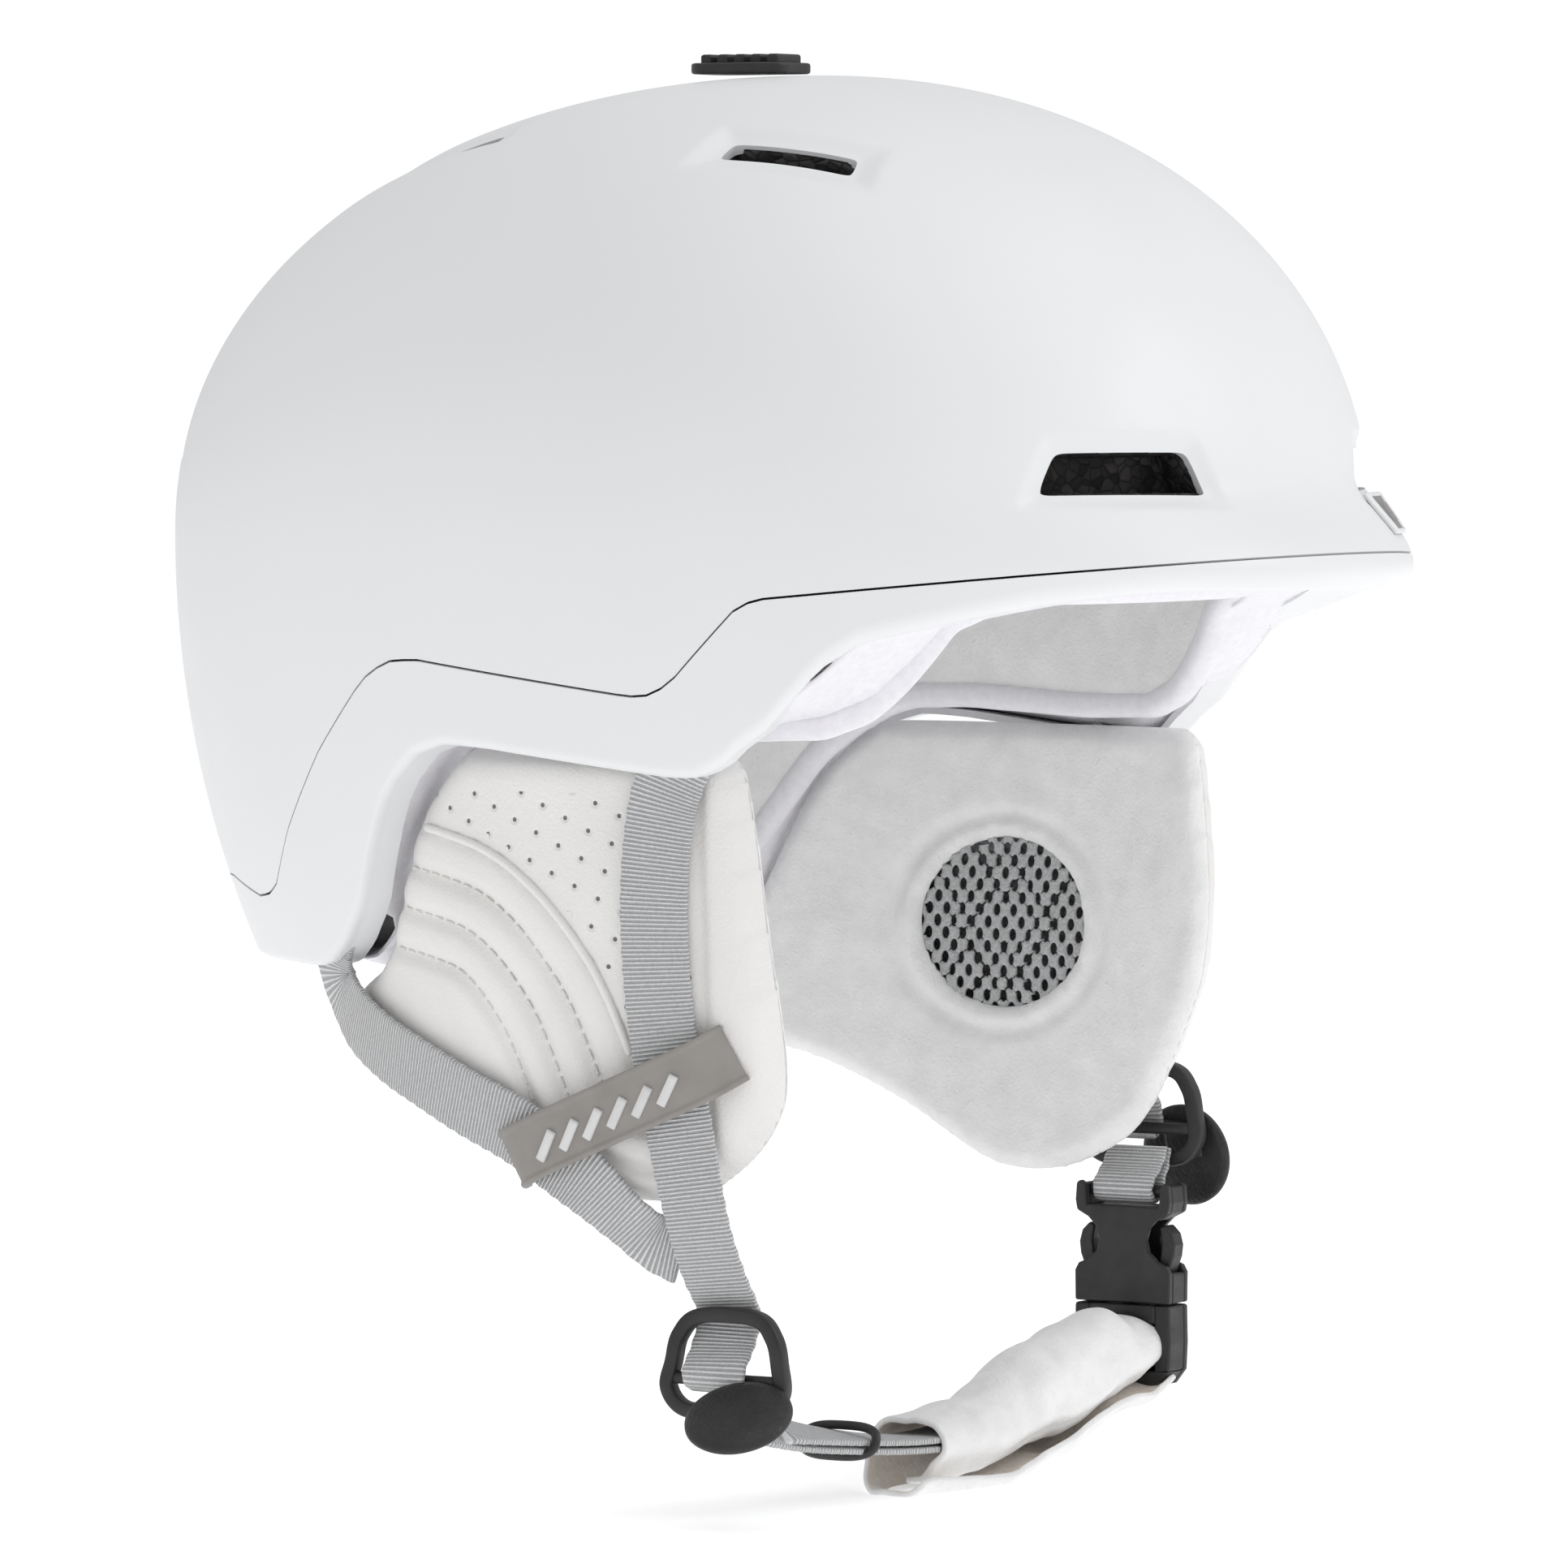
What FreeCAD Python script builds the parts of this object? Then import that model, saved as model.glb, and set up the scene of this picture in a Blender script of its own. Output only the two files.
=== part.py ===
import FreeCAD, Part
import math
import os
import Sketcher

# Ski helmet.  Millimetres, +Z up, the face looks along -Y, the wearer's right is -X.
# The origin is the middle of the head opening at brow level, where the shell is widest.

os.makedirs("parts", exist_ok=True)
V = FreeCAD.Vector
Rotation = FreeCAD.Rotation
doc = FreeCAD.newDocument("ski_helmet")

# ---------------------------------------------------------------- driving dimensions
SIZES = [
    ("shell_front", 119.5, "shell, origin to forehead"),
    ("shell_back", 147.0, "shell, origin to back of head"),
    ("shell_half_width", 109.0, "shell, centre to side"),
    ("shell_rise", 99.5, "shell, origin to crown"),
    ("shell_drop", 185.0, "how slowly the shell closes in below the origin"),
    ("plan_power", 2.2, "squareness of the shell seen from above"),
    ("crown_power", 2.12, "squareness of the shell seen from the side"),
    ("shell_wall", 2.2, "moulded shell wall"),
    ("brim_reach", 13.5, "how far the brim stands out"),
    ("brim_top", 14.0, "height where the brim starts to flare"),
    ("brim_tip", -6.0, "height of the brim's tip"),
    ("seam_gap", 0.5, "gap between upper and lower shell"),
    ("layer_gap", 0.4, "gap between shell, foam and fleece"),
    ("foam_wall", 23.0, "energy absorbing foam"),
    ("fleece_wall", 4.5, "comfort pads"),
    ("vent_depth", 14.0, "air channel depth in the foam"),
    ("webbing_wide", 15.0, "strap webbing width"),
    ("webbing_thick", 1.6, "strap webbing thickness"),
    ("pad_out", 96.0, "ear pad outer face from the centre plane"),
    ("cover_wall", 3.0, "ear pad leather cover with its backing"),
    ("core_wall", 5.5, "ear pad foam core"),
    ("lining_wall", 3.5, "ear pad fleece lining"),
    ("left_pad_forward", 13.0, "left ear pad sits this much further forward"),
    ("mesh_diameter", 38.0, "sound opening mesh"),
    ("keeper_wide", 13.0, "rubber strap keeper width"),
    ("keeper_thick", 1.8, "rubber strap keeper thickness"),
    ("frame_wide", 31.0, "strap adjuster frame width"),
    ("frame_tall", 23.0, "strap adjuster frame height"),
    ("frame_thick", 3.4, "strap adjuster frame thickness"),
    ("frame_limb", 3.2, "strap adjuster frame limb"),
    ("flap_diameter", 23.0, "round locking flap"),
    ("flap_thick", 2.8, "round locking flap thickness"),
    ("ring_radius", 10.6, "strap keeper ring, middle of its section"),
    ("ring_section", 1.1, "strap keeper ring section radius"),
    ("chin_wall", 2.6, "chin pad fleece wall"),
    ("buckle_wide", 24.0, "buckle body width"),
    ("buckle_thick", 9.0, "buckle body thickness"),
    ("buckle_wall", 1.4, "buckle socket wall"),
    ("socket_tall", 27.0, "buckle socket height"),
    ("plug_tall", 17.0, "buckle plug body height"),
    ("prong_tall", 19.0, "buckle plug prong reach"),
    ("prong_wide", 3.4, "buckle plug prong width"),
    ("moving_gap", 0.4, "clearance between moving pieces"),
    ("knob_long", 32.0, "vent slider knob length"),
    ("knob_wide", 20.0, "vent slider knob width"),
    ("knob_thick", 2.3, "vent slider knob plate"),
    ("block_tall", 2.1, "grip block height"),
    ("slide_travel", 8.0, "vent slider travel"),
    ("shutter_thick", 1.0, "vent shutter plate"),
    ("stem_wide", 5.0, "slider stem width"),
    ("stem_long", 12.0, "slider stem length"),
    ("dial_diameter", 32.0, "fit dial diameter"),
    ("dial_thick", 8.0, "fit dial thickness"),
    ("gear_module", 1.0, "fit pinion and rack tooth size"),
    ("gear_teeth", 10, "fit pinion tooth count"),
    ("gear_face", 3.0, "fit pinion tooth width"),
    ("rack_tall", 6.0, "fit rack height"),
    ("clip_wide", 22.0, "goggle clip width"),
    ("clip_thick", 2.6, "goggle clip tongue thickness"),
    ("pin_radius", 1.25, "goggle clip pin radius"),
    ("bracket_wide", 16.0, "fit system bracket width"),
    ("badge_thick", 1.2, "brow badge plate"),
]
sheet = doc.addObject("Spreadsheet::Sheet", "Sizes")
for row, (alias, amount, note) in enumerate(SIZES, start=1):
    sheet.set(f"A{row}", alias)
    sheet.set(f"B{row}", str(amount))
    sheet.set(f"C{row}", note)
    sheet.setAlias(f"B{row}", alias)
doc.recompute()


def size(alias):
    """The sheet's value of one driving dimension."""
    return float(getattr(sheet, alias))


sub_parts = {}


def keep_shape(name, shape):
    """Keep a free-form solid as a sub-part of the document."""
    feature = doc.addObject("Part::Feature", name)
    feature.Label = name
    feature.Shape = shape
    sub_parts[name] = feature
    return feature


def keep_object(name, feature):
    """Keep a parametric object as a sub-part of the document."""
    feature.Label = name
    sub_parts[name] = feature
    return feature


# ---------------------------------------------------------------- shell surface
FRONT = size("shell_front")
BACK = size("shell_back")
HALF_WIDTH = size("shell_half_width")
RISE = size("shell_rise")
DROP = size("shell_drop")
WALL = size("shell_wall")
LAYER_GAP = size("layer_gap")
FOAM_OUT = WALL + LAYER_GAP
FOAM_IN = FOAM_OUT + size("foam_wall")
FLEECE_OUT = FOAM_IN + LAYER_GAP
FLEECE_IN = FLEECE_OUT + size("fleece_wall")
RIM_POINTS = 32
FORM_BOTTOM = -115.0


def signed_power(amount, power):
    return math.copysign(abs(amount) ** power, amount)


def section_scale(height, inset):
    """How much of the full plan is left at this height."""
    if height >= 0:
        power = size("crown_power")
        return (1 - (height / (RISE - inset)) ** power) ** (1 / power)
    return math.sqrt(1 - (height / DROP) ** 2)


def brim_flare(height):
    """How far the brim stands out of the plain shell surface at the front."""
    share = (size("brim_top") - height) / (size("brim_top") - size("brim_tip"))
    return size("brim_reach") * min(max(share, 0.0), 1.0)


def rim_wire(height, inset, flared):
    """Closed horizontal section of the shell surface."""
    scale = section_scale(height, inset)
    power = 2 / size("plan_power")
    points = []
    for number in range(RIM_POINTS):
        angle = 2 * math.pi * number / RIM_POINTS + math.pi / 2
        side = signed_power(math.cos(angle), power)
        ahead = signed_power(math.sin(angle), power)
        reach = (FRONT if ahead < 0 else BACK) - inset
        y_place = reach * scale * ahead
        if flared and ahead < 0:
            y_place -= brim_flare(height) * abs(math.sin(angle)) ** 3
        points.append(V((HALF_WIDTH - inset) * scale * side, y_place, height))
    curve = Part.BSplineCurve()
    curve.interpolate(Points=points, PeriodicFlag=True)
    return Part.Wire([curve.toShape()])


def shell_form(inset, flared=False, bottom=FORM_BOTTOM):
    """Solid inside the shell surface, set in by this much."""
    lower = [bottom * (1 - step / 6) for step in range(6)]
    if flared:
        lower += [size("brim_tip"), size("brim_tip") / 2]
        lower.sort()
    upper = [(RISE - inset) * math.sin(math.pi / 2 * step / 9.5) for step in range(9)]
    heights = lower + upper + [(RISE - inset) * 0.998]
    return Part.makeLoft([rim_wire(height, inset, flared) for height in heights], True, False)


def side_prism(outline, shift=0.0):
    """Prism through the whole width from an outline of (y, z) points."""
    reach = HALF_WIDTH + 60
    corners = [V(-reach, y_place, z_place + shift) for y_place, z_place in outline]
    wire = Part.makePolygon(corners + [corners[0]])
    return Part.Face(wire).extrude(V(2 * reach, 0, 0))


def slot_prism(centre, along, normal, long_edge, short_edge, height, depth):
    """Tapered slot with its long edge low, through a surface whose normal is given."""
    along = V(along)
    along.normalize()
    normal = V(normal)
    normal = (normal - along * normal.dot(along)).normalize()
    rise = along.cross(normal)
    if rise.z < 0:
        rise = rise * -1
    corners = []
    for share_along, share_up in ((-long_edge, -height), (long_edge, -height),
                                  (short_edge, height), (-short_edge, height)):
        corners.append(V(centre) + along * (share_along / 2) + rise * (share_up / 2) + normal * 12)
    wire = Part.makePolygon(corners + [corners[0]])
    return Part.Face(wire).extrude(normal * -(12 + depth))


def mirrored(shape):
    return shape.mirror(V(0, 0, 0), V(1, 0, 0))


# Outlines seen from the side, as (y, z).  They follow the shell's own sizes.
FAR = 400.0
SEAM = [
    (-FAR, 0.0), (-FRONT - size("brim_reach"), -2.0), (-45.0, -11.0), (-26.0, -30.0), (-20.0, -31.2),
    (41.0, -24.0), (54.0, -31.5), (66.0, -44.5), (80.0, -62.0), (88.0, -75.0), (97.0, -77.5),
    (112.0, -74.0), (FAR, -74.0),
]
UPPER_REGION = SEAM + [(FAR, FAR), (-FAR, FAR)]
RIM = [
    (-FAR, -8.8), (-FRONT, -9.3), (-98.0, -12.6), (-81.0, -16.7), (-66.0, -20.5), (-58.0, -26.0),
    (-46.0, -39.5), (-42.0, -40.5), (-37.0, -46.5), (-32.0, -49.0), (-26.0, -48.8), (19.0, -43.5),
    (30.0, -42.5), (38.0, -45.0), (47.0, -53.0), (52.0, -62.0), (60.0, -79.0), (68.0, -87.5),
    (75.0, -92.0), (80.0, -93.0), (FAR, -93.0),
]
ABOVE_RIM = RIM + [(FAR, FAR), (-FAR, FAR)]
FOAM_EDGE = [
    (-FAR, -6.5), (-100.0, -9.0), (-84.0, -12.0), (-66.0, -17.0), (-57.0, -26.0), (-47.0, -34.0),
    (20.0, -34.0), (46.0, -37.0), (60.0, -52.0), (72.0, -66.0), (79.0, -80.0), (86.0, -90.0),
    (FAR, -90.0),
]
ABOVE_FOAM_EDGE = FOAM_EDGE + [(FAR, FAR), (-FAR, FAR)]
FLEECE_EDGE = [
    (-FAR, -9.0), (-88.0, -11.0), (-74.0, -15.0), (-61.0, -30.0), (-46.0, -39.0), (-24.0, -39.5),
    (20.0, -38.0), (37.0, -42.0), (52.0, -58.0), (60.0, -76.0), (68.0, -91.0), (FAR, -91.0),
]
ABOVE_FLEECE_EDGE = FLEECE_EDGE + [(FAR, FAR), (-FAR, FAR)]

# Air slots: centre, direction along, outward normal, long edge, short edge, height.
VENTS = [
    (V(-52, -105, 15), V(0.885, -0.466, 0), V(-0.466, -0.885, 0.1), 42.0, 33.0, 8.6),
    (V(-60, -29, 81), V(0.13, -0.98, -0.13), V(-0.5, -0.1, 0.86), 31.0, 29.0, 6.5),
    (V(-38, 72, 83), V(0.2, 0.93, -0.275), V(-0.295, 0.328, 0.896), 36.0, 32.0, 6.0),
    (V(-36, 132, 24), V(0.96, 0.28, 0), V(-0.27, 0.93, 0.25), 34.0, 28.0, 7.5),
]

slider_slot_long = size("stem_long") + size("slide_travel") + 2 * size("moving_gap")
slider_slot_wide = size("stem_wide") + 2 * size("moving_gap")
STEM_MIDDLE = 17.0
slider_slot = Part.makeBox(slider_slot_wide, slider_slot_long, 30)
slider_slot.translate(V(-slider_slot_wide / 2,
                        STEM_MIDDLE + size("stem_long") / 2 + size("moving_gap") - slider_slot_long, RISE - 12))


def vent_tools(depth):
    tools = []
    for vent in VENTS:
        tool = slot_prism(*vent, depth)
        tools += [tool, mirrored(tool)]
    return tools


outer_form = shell_form(0.0, flared=True)
inner_form = shell_form(WALL, bottom=FORM_BOTTOM - 5)
hull = outer_form.cut(inner_form)
outer_shell = hull.common(side_prism(UPPER_REGION)).cut(vent_tools(8.0) + [slider_slot])
keep_shape("outer_shell", outer_shell)
lower_shell = hull.cut(side_prism(UPPER_REGION, -size("seam_gap"))).common(side_prism(ABOVE_RIM))
keep_shape("lower_shell", lower_shell)

# Foam liner: blind air channels, a recess for the shutter, a notch for the fit dial.
SHUTTER_LONG = 40.0
SHUTTER_WIDE = 26.0
SHUTTER_TOP = RISE - 5.6
notch_half = size("dial_diameter") / 2 + 21
foam = shell_form(FOAM_OUT, bottom=FORM_BOTTOM - 8).cut(shell_form(FOAM_IN, bottom=FORM_BOTTOM - 12))
foam = foam.common(side_prism(ABOVE_FOAM_EDGE))
recess = Part.makeBox(SHUTTER_WIDE + 3, SHUTTER_LONG + size("slide_travel") + 4, 20)
recess.translate(V(-SHUTTER_WIDE / 2 - 1.5, STEM_MIDDLE - SHUTTER_LONG / 2 - size("slide_travel") - 2,
                   SHUTTER_TOP - size("shutter_thick") - 1.0))
notch = Part.makeBox(2 * notch_half, 80, 80)
notch.translate(V(-notch_half, 60, -58 - 80))
foam = foam.cut(vent_tools(size("vent_depth")) + [recess, notch])
keep_shape("foam_liner", foam)

# Comfort pads, a crown pad and a ring of four below it.
fleece = shell_form(FLEECE_OUT, bottom=FORM_BOTTOM - 14).cut(shell_form(FLEECE_IN, bottom=FORM_BOTTOM - 16))
bracket_way = Part.makeBox(size("bracket_wide") + 2, 80, 30)
bracket_way.translate(V(-size("bracket_wide") / 2 - 1, 60, -44 - 30))
fleece = fleece.common(side_prism(ABOVE_FLEECE_EDGE)).cut([notch, bracket_way])
PAD_SPLIT = 22.0
SIDE_SPLIT = 46.0
PAD_GAP = 1.0


def block(low, high):
    box = Part.makeBox(high[0] - low[0], high[1] - low[1], high[2] - low[2])
    box.translate(V(*low))
    return box


keep_shape("crown_pad", fleece.common(block((-FAR, -FAR, PAD_SPLIT), (FAR, FAR, FAR))))
ring_top = PAD_SPLIT - PAD_GAP
keep_shape("brow_pad", fleece.common(block((-SIDE_SPLIT, -FAR, -FAR), (SIDE_SPLIT, 0, ring_top))))
keep_shape("nape_pad", fleece.common(block((-SIDE_SPLIT, 0, -FAR), (SIDE_SPLIT, FAR, ring_top))))
side_pad = fleece.common(block((SIDE_SPLIT + PAD_GAP, -FAR, -FAR), (FAR, FAR, ring_top)))
keep_shape("side_pad_left", side_pad)
keep_shape("side_pad_right", mirrored(side_pad))


# ---------------------------------------------------------------- sketch helpers
def new_body(name, base, rotation=Rotation()):
    body = doc.addObject("PartDesign::Body", name)
    body.Placement = FreeCAD.Placement(V(*base), rotation)
    return body


def new_sketch(body, role, lift=None):
    sketch = body.newObject("Sketcher::SketchObject", body.Name + "_sketch")
    plane = [feature for feature in body.Origin.OriginFeatures if feature.Role == role][0]
    sketch.AttachmentSupport = [(plane, "")]
    sketch.MapMode = "FlatFace"
    if lift:
        sketch.setExpression("AttachmentOffset.Base.z", lift)
    return sketch


def add_circle(sketch, diameter):
    """Circle about the sketch origin, its diameter bound to the sheet."""
    number = sketch.addGeometry(Part.Circle(V(0, 0, 0), V(0, 0, 1), 5), False)
    sketch.addConstraint(Sketcher.Constraint("Coincident", number, 3, -1, 1))
    bound = sketch.addConstraint(Sketcher.Constraint("Diameter", number, 10))
    sketch.setExpression(f"Constraints[{bound}]", diameter)


def add_rectangle(sketch, wide, tall):
    """Rectangle about the sketch origin, both sides bound to the sheet."""
    corners = [V(-5, -4, 0), V(5, -4, 0), V(5, 4, 0), V(-5, 4, 0)]
    first = None
    for number in range(4):
        line = sketch.addGeometry(Part.LineSegment(corners[number], corners[(number + 1) % 4]), False)
        first = line if first is None else first
    for number in range(4):
        sketch.addConstraint(Sketcher.Constraint("Coincident", first + number, 2, first + (number + 1) % 4, 1))
    for number in (0, 2):
        sketch.addConstraint(Sketcher.Constraint("Horizontal", first + number))
        sketch.addConstraint(Sketcher.Constraint("Vertical", first + number + 1))
    sketch.addConstraint(Sketcher.Constraint("Symmetric", first, 1, first + 1, 2, -1, 1))
    across = sketch.addConstraint(Sketcher.Constraint("DistanceX", first, 1, first, 2, 10))
    sketch.setExpression(f"Constraints[{across}]", wide)
    upward = sketch.addConstraint(Sketcher.Constraint("DistanceY", first + 1, 1, first + 1, 2, 8))
    sketch.setExpression(f"Constraints[{upward}]", tall)


def add_polygon(sketch, points):
    for number, point in enumerate(points):
        after = points[(number + 1) % len(points)]
        sketch.addGeometry(Part.LineSegment(V(point[0], point[1], 0), V(after[0], after[1], 0)), False)


def add_pad(body, sketch, length, reverse=False, both_ways=False):
    pad = body.newObject("PartDesign::Pad", body.Name + "_pad")
    pad.Profile = sketch
    pad.setExpression("Length", length)
    pad.Reversed = reverse
    if both_ways:
        pad.SideType = "Symmetric"
    return pad


def add_pocket(body, sketch, length, reverse=False, both_ways=False):
    doc.recompute()
    before = body.Shape.Volume
    pocket = body.newObject("PartDesign::Pocket", body.Name + "_pocket")
    pocket.Profile = sketch
    pocket.setExpression("Length", length)
    pocket.Reversed = reverse
    if both_ways:
        pocket.SideType = "Symmetric"
    doc.recompute()
    if body.Shape.Volume > before - 0.01:
        raise RuntimeError(body.Name + ": a pocket cut nothing")
    return pocket


def add_row(body, feature, direction, step, count):
    """Repeat a feature in a row along a sketch axis."""
    doc.recompute()
    row_pattern = body.newObject("PartDesign::LinearPattern", body.Name + "_row")
    row_pattern.Originals = [feature]
    row_pattern.Direction = direction
    row_pattern.Mode = "Spacing"
    row_pattern.setExpression("Offset", step)
    row_pattern.Occurrences = count
    body.Tip = row_pattern
    return row_pattern


# ---------------------------------------------------------------- badge on the brow
BADGE_X = 40.0
BADGE_Z = 4.5


def brow_y(x_place, height):
    """Front of the flared shell at this distance from the centre plane."""
    scale = section_scale(height, 0)
    share = abs(x_place / HALF_WIDTH / scale) ** size("plan_power")
    plain = FRONT * scale * (1 - share) ** (1 / size("plan_power"))
    sine = (1 - share) ** 0.5
    return -plain - brim_flare(height) * sine ** 3


beside = brow_y(BADGE_X + 1, BADGE_Z) - brow_y(BADGE_X - 1, BADGE_Z)
above = brow_y(BADGE_X, BADGE_Z + 1) - brow_y(BADGE_X, BADGE_Z - 1)
badge_out = V(beside / 2, -1, above / 2).normalize()
badge_place = V(BADGE_X, brow_y(BADGE_X, BADGE_Z), BADGE_Z) + badge_out * size("moving_gap")
badge_side = V(0, 0, 1).cross(badge_out).normalize()
badge_turn = Rotation(badge_side, badge_out.cross(badge_side), badge_out, "ZXY")
badge = new_body("badge", tuple(badge_place), badge_turn)
badge_sketch = new_sketch(badge, "XY_Plane")
add_polygon(badge_sketch, [(-13, -5.8), (13, -5.8), (10.5, 5.8), (-10.5, 5.8)])
add_pad(badge, badge_sketch, "Sizes.badge_thick")
keep_object("badge", badge)

# ---------------------------------------------------------------- vent slider on the crown
KNOB_BASE = RISE + size("moving_gap")
knob = new_body("slider_knob", (0, STEM_MIDDLE, KNOB_BASE))
knob_sketch = new_sketch(knob, "XY_Plane")
add_rectangle(knob_sketch, "Sizes.knob_wide", "Sizes.knob_long")
add_pad(knob, knob_sketch, "Sizes.knob_thick")
stem_sketch = new_sketch(knob, "XY_Plane")
add_rectangle(stem_sketch, "Sizes.stem_wide", "Sizes.stem_long")
add_pad(knob, stem_sketch, "Sizes.moving_gap + 5.6", reverse=True)
BLOCKS = 5
block_sketch = new_sketch(knob, "XY_Plane", "Sizes.knob_thick")
block_sketch.setExpression("AttachmentOffset.Base.y", "-Sizes.knob_long / 2 + 4.4")
add_rectangle(block_sketch, "Sizes.knob_wide - 6", "3.4")
grip_block = add_pad(knob, block_sketch, "Sizes.block_tall")
add_row(knob, grip_block, (block_sketch, ["V_Axis"]), "(Sizes.knob_long - 8.8) / 4", BLOCKS)
keep_object("slider_knob", knob)

shutter = new_body("slider_shutter", (0, STEM_MIDDLE, SHUTTER_TOP - size("shutter_thick")))
shutter_sketch = new_sketch(shutter, "XY_Plane")
add_rectangle(shutter_sketch, str(SHUTTER_WIDE), str(SHUTTER_LONG))
add_pad(shutter, shutter_sketch, "Sizes.shutter_thick")
window_sketch = new_sketch(shutter, "XY_Plane")
window_sketch.setExpression("AttachmentOffset.Base.y", "-14")
add_rectangle(window_sketch, "14", "4")
add_pocket(shutter, window_sketch, "Sizes.shutter_thick", reverse=True)
keep_object("slider_shutter", shutter)


# ---------------------------------------------------------------- fit system at the nape
# A dial turns a pinion between two racks; each rack carries one wing of the nape cradle.
DIAL_Z = -78.0
HOUSING_FRONT = 92.0
TEETH = int(size("gear_teeth"))
MODULE = size("gear_module")
PITCH_RADIUS = MODULE * TEETH / 2
PITCH = math.pi * MODULE
facing_back = Rotation(V(1, 0, 0), -90)


pinion = new_body("fit_pinion", (0, HOUSING_FRONT + 1.4, DIAL_Z), facing_back)
pinion_sketch = new_sketch(pinion, "XY_Plane")
outline = []
for tooth in range(TEETH):
    middle = 2 * math.pi * tooth / TEETH
    for turn, radius in ((-0.30, PITCH_RADIUS - 1.25 * MODULE), (-0.15, PITCH_RADIUS), (-0.06, PITCH_RADIUS + 0.8 * MODULE),
                         (0.06, PITCH_RADIUS + 0.8 * MODULE), (0.15, PITCH_RADIUS), (0.30, PITCH_RADIUS - 1.25 * MODULE)):
        angle = middle + turn * 10 / TEETH
        outline.append((radius * math.sin(angle), radius * math.cos(angle)))
add_polygon(pinion_sketch, outline)
add_pad(pinion, pinion_sketch, "Sizes.gear_face")
shaft_sketch = new_sketch(pinion, "XY_Plane", "Sizes.gear_face")
add_circle(shaft_sketch, "5")
add_pad(pinion, shaft_sketch, "3.4")
keep_object("fit_pinion", pinion)

dial = new_body("fit_dial", (0, HOUSING_FRONT + 1.4 + size("gear_face") + 3.4, DIAL_Z), facing_back)
dial_sketch = new_sketch(dial, "XY_Plane")
outline = []
GRIPS = 24
for grip in range(GRIPS):
    for turn, radius in ((0, size("dial_diameter") / 2), (0.5, size("dial_diameter") / 2 - 1.2)):
        angle = 2 * math.pi * (grip + turn) / GRIPS
        outline.append((radius * math.cos(angle), radius * math.sin(angle)))
add_polygon(dial_sketch, outline)
add_pad(dial, dial_sketch, "Sizes.dial_thick")
keep_object("fit_dial", dial)

housing = new_body("fit_housing", (0, HOUSING_FRONT, DIAL_Z), facing_back)
housing_sketch = new_sketch(housing, "XY_Plane")
HOUSING_WIDE = 46.0
HOUSING_TALL = 2 * (PITCH_RADIUS + MODULE + size("rack_tall") + size("moving_gap") + 2.0)
add_rectangle(housing_sketch, str(HOUSING_WIDE), str(HOUSING_TALL))
add_pad(housing, housing_sketch, "6")
channel_sketch = new_sketch(housing, "XY_Plane", "6")
channel_sketch.setExpression("AttachmentOffset.Base.z", "1")
add_rectangle(channel_sketch, str(HOUSING_WIDE + 4), str(HOUSING_TALL - 4.0))
add_pocket(housing, channel_sketch, "3.8", reverse=True)
hole_sketch = new_sketch(housing, "XY_Plane", "4")
add_circle(hole_sketch, "6")
add_pocket(housing, hole_sketch, "4", reverse=True)
keep_object("fit_housing", housing)

bracket = new_body("fit_bracket", (0, 0, 0), Rotation())
bracket_sketch = new_sketch(bracket, "YZ_Plane")
foot_low = DIAL_Z + HOUSING_TALL / 2 + 0.3
foam_y = (BACK - FOAM_IN) * section_scale(-54, 0) - 0.9
add_polygon(bracket_sketch, [(HOUSING_FRONT + 1, foot_low), (HOUSING_FRONT + 5, foot_low), (foam_y - 6, -54), (foam_y, -54),
                             (foam_y, -47), (foam_y - 8, -47), (HOUSING_FRONT + 1, foot_low + 4)])
add_pad(bracket, bracket_sketch, "Sizes.bracket_wide", both_ways=True)
keep_object("fit_bracket", bracket)

# Each rack runs above or below the pinion and ends in a padded wing.
RACK_LONG = 30.0
WING_X = [RACK_LONG - 2, 36.0, 44.0, 51.0]
WING_INSET = FLEECE_IN + 5.0


def cradle_y(x_place):
    """Depth of the nape cradle, a constant distance inside the comfort pads."""
    scale = section_scale(DIAL_Z, 0)
    power = size("plan_power")
    share = abs(x_place / (HALF_WIDTH - WING_INSET) / scale) ** power
    return (BACK - WING_INSET) * scale * (1 - share) ** (1 / power)


def rack_solid(side):
    """Rack with teeth towards the pinion and a wing that follows the head."""
    bar_low = PITCH_RADIUS + MODULE * 1.25
    bar = Part.makeBox(RACK_LONG + 12, size("gear_face"), size("rack_tall") - 1)
    bar.translate(V(-12, 0, bar_low))
    pieces = [bar]
    first = -int(9 / PITCH)
    for number in range(first, first + 8):
        middle = (number + 0.5) * PITCH
        if not -11 < middle < RACK_LONG - 1.5:
            continue
        corners = [(middle - 0.95, bar_low + 0.1), (middle - 0.28, PITCH_RADIUS - 0.75 * MODULE),
                   (middle + 0.28, PITCH_RADIUS - 0.75 * MODULE), (middle + 0.95, bar_low + 0.1)]
        wire = Part.makePolygon([V(x, 0, z) for x, z in corners + corners[:1]])
        pieces.append(Part.Face(wire).extrude(V(0, size("gear_face"), 0)))
    wing_wires = []
    for forward, along in enumerate(WING_X):
        tall = 5.0 + 4.0 * forward
        middle_z = bar_low + 2.5 if forward == 0 else 4.0
        back = min(cradle_y(along) - cradle_y(WING_X[0]), 0.0)
        corners = [V(along, back + depth, middle_z + lift) for depth, lift in
                   ((0, -tall / 2), (2.4, -tall / 2), (2.4, tall / 2), (0, tall / 2))]
        wing_wires.append(Part.makePolygon(corners + corners[:1]))
    pieces.append(Part.makeLoft(wing_wires, True, True))
    solid = pieces[0].multiFuse(pieces[1:])
    if side < 0:
        solid = solid.rotate(V(0, 0, 0), V(0, 1, 0), 180)
    solid.translate(V(0, HOUSING_FRONT + 1.4, DIAL_Z))
    return solid


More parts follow.
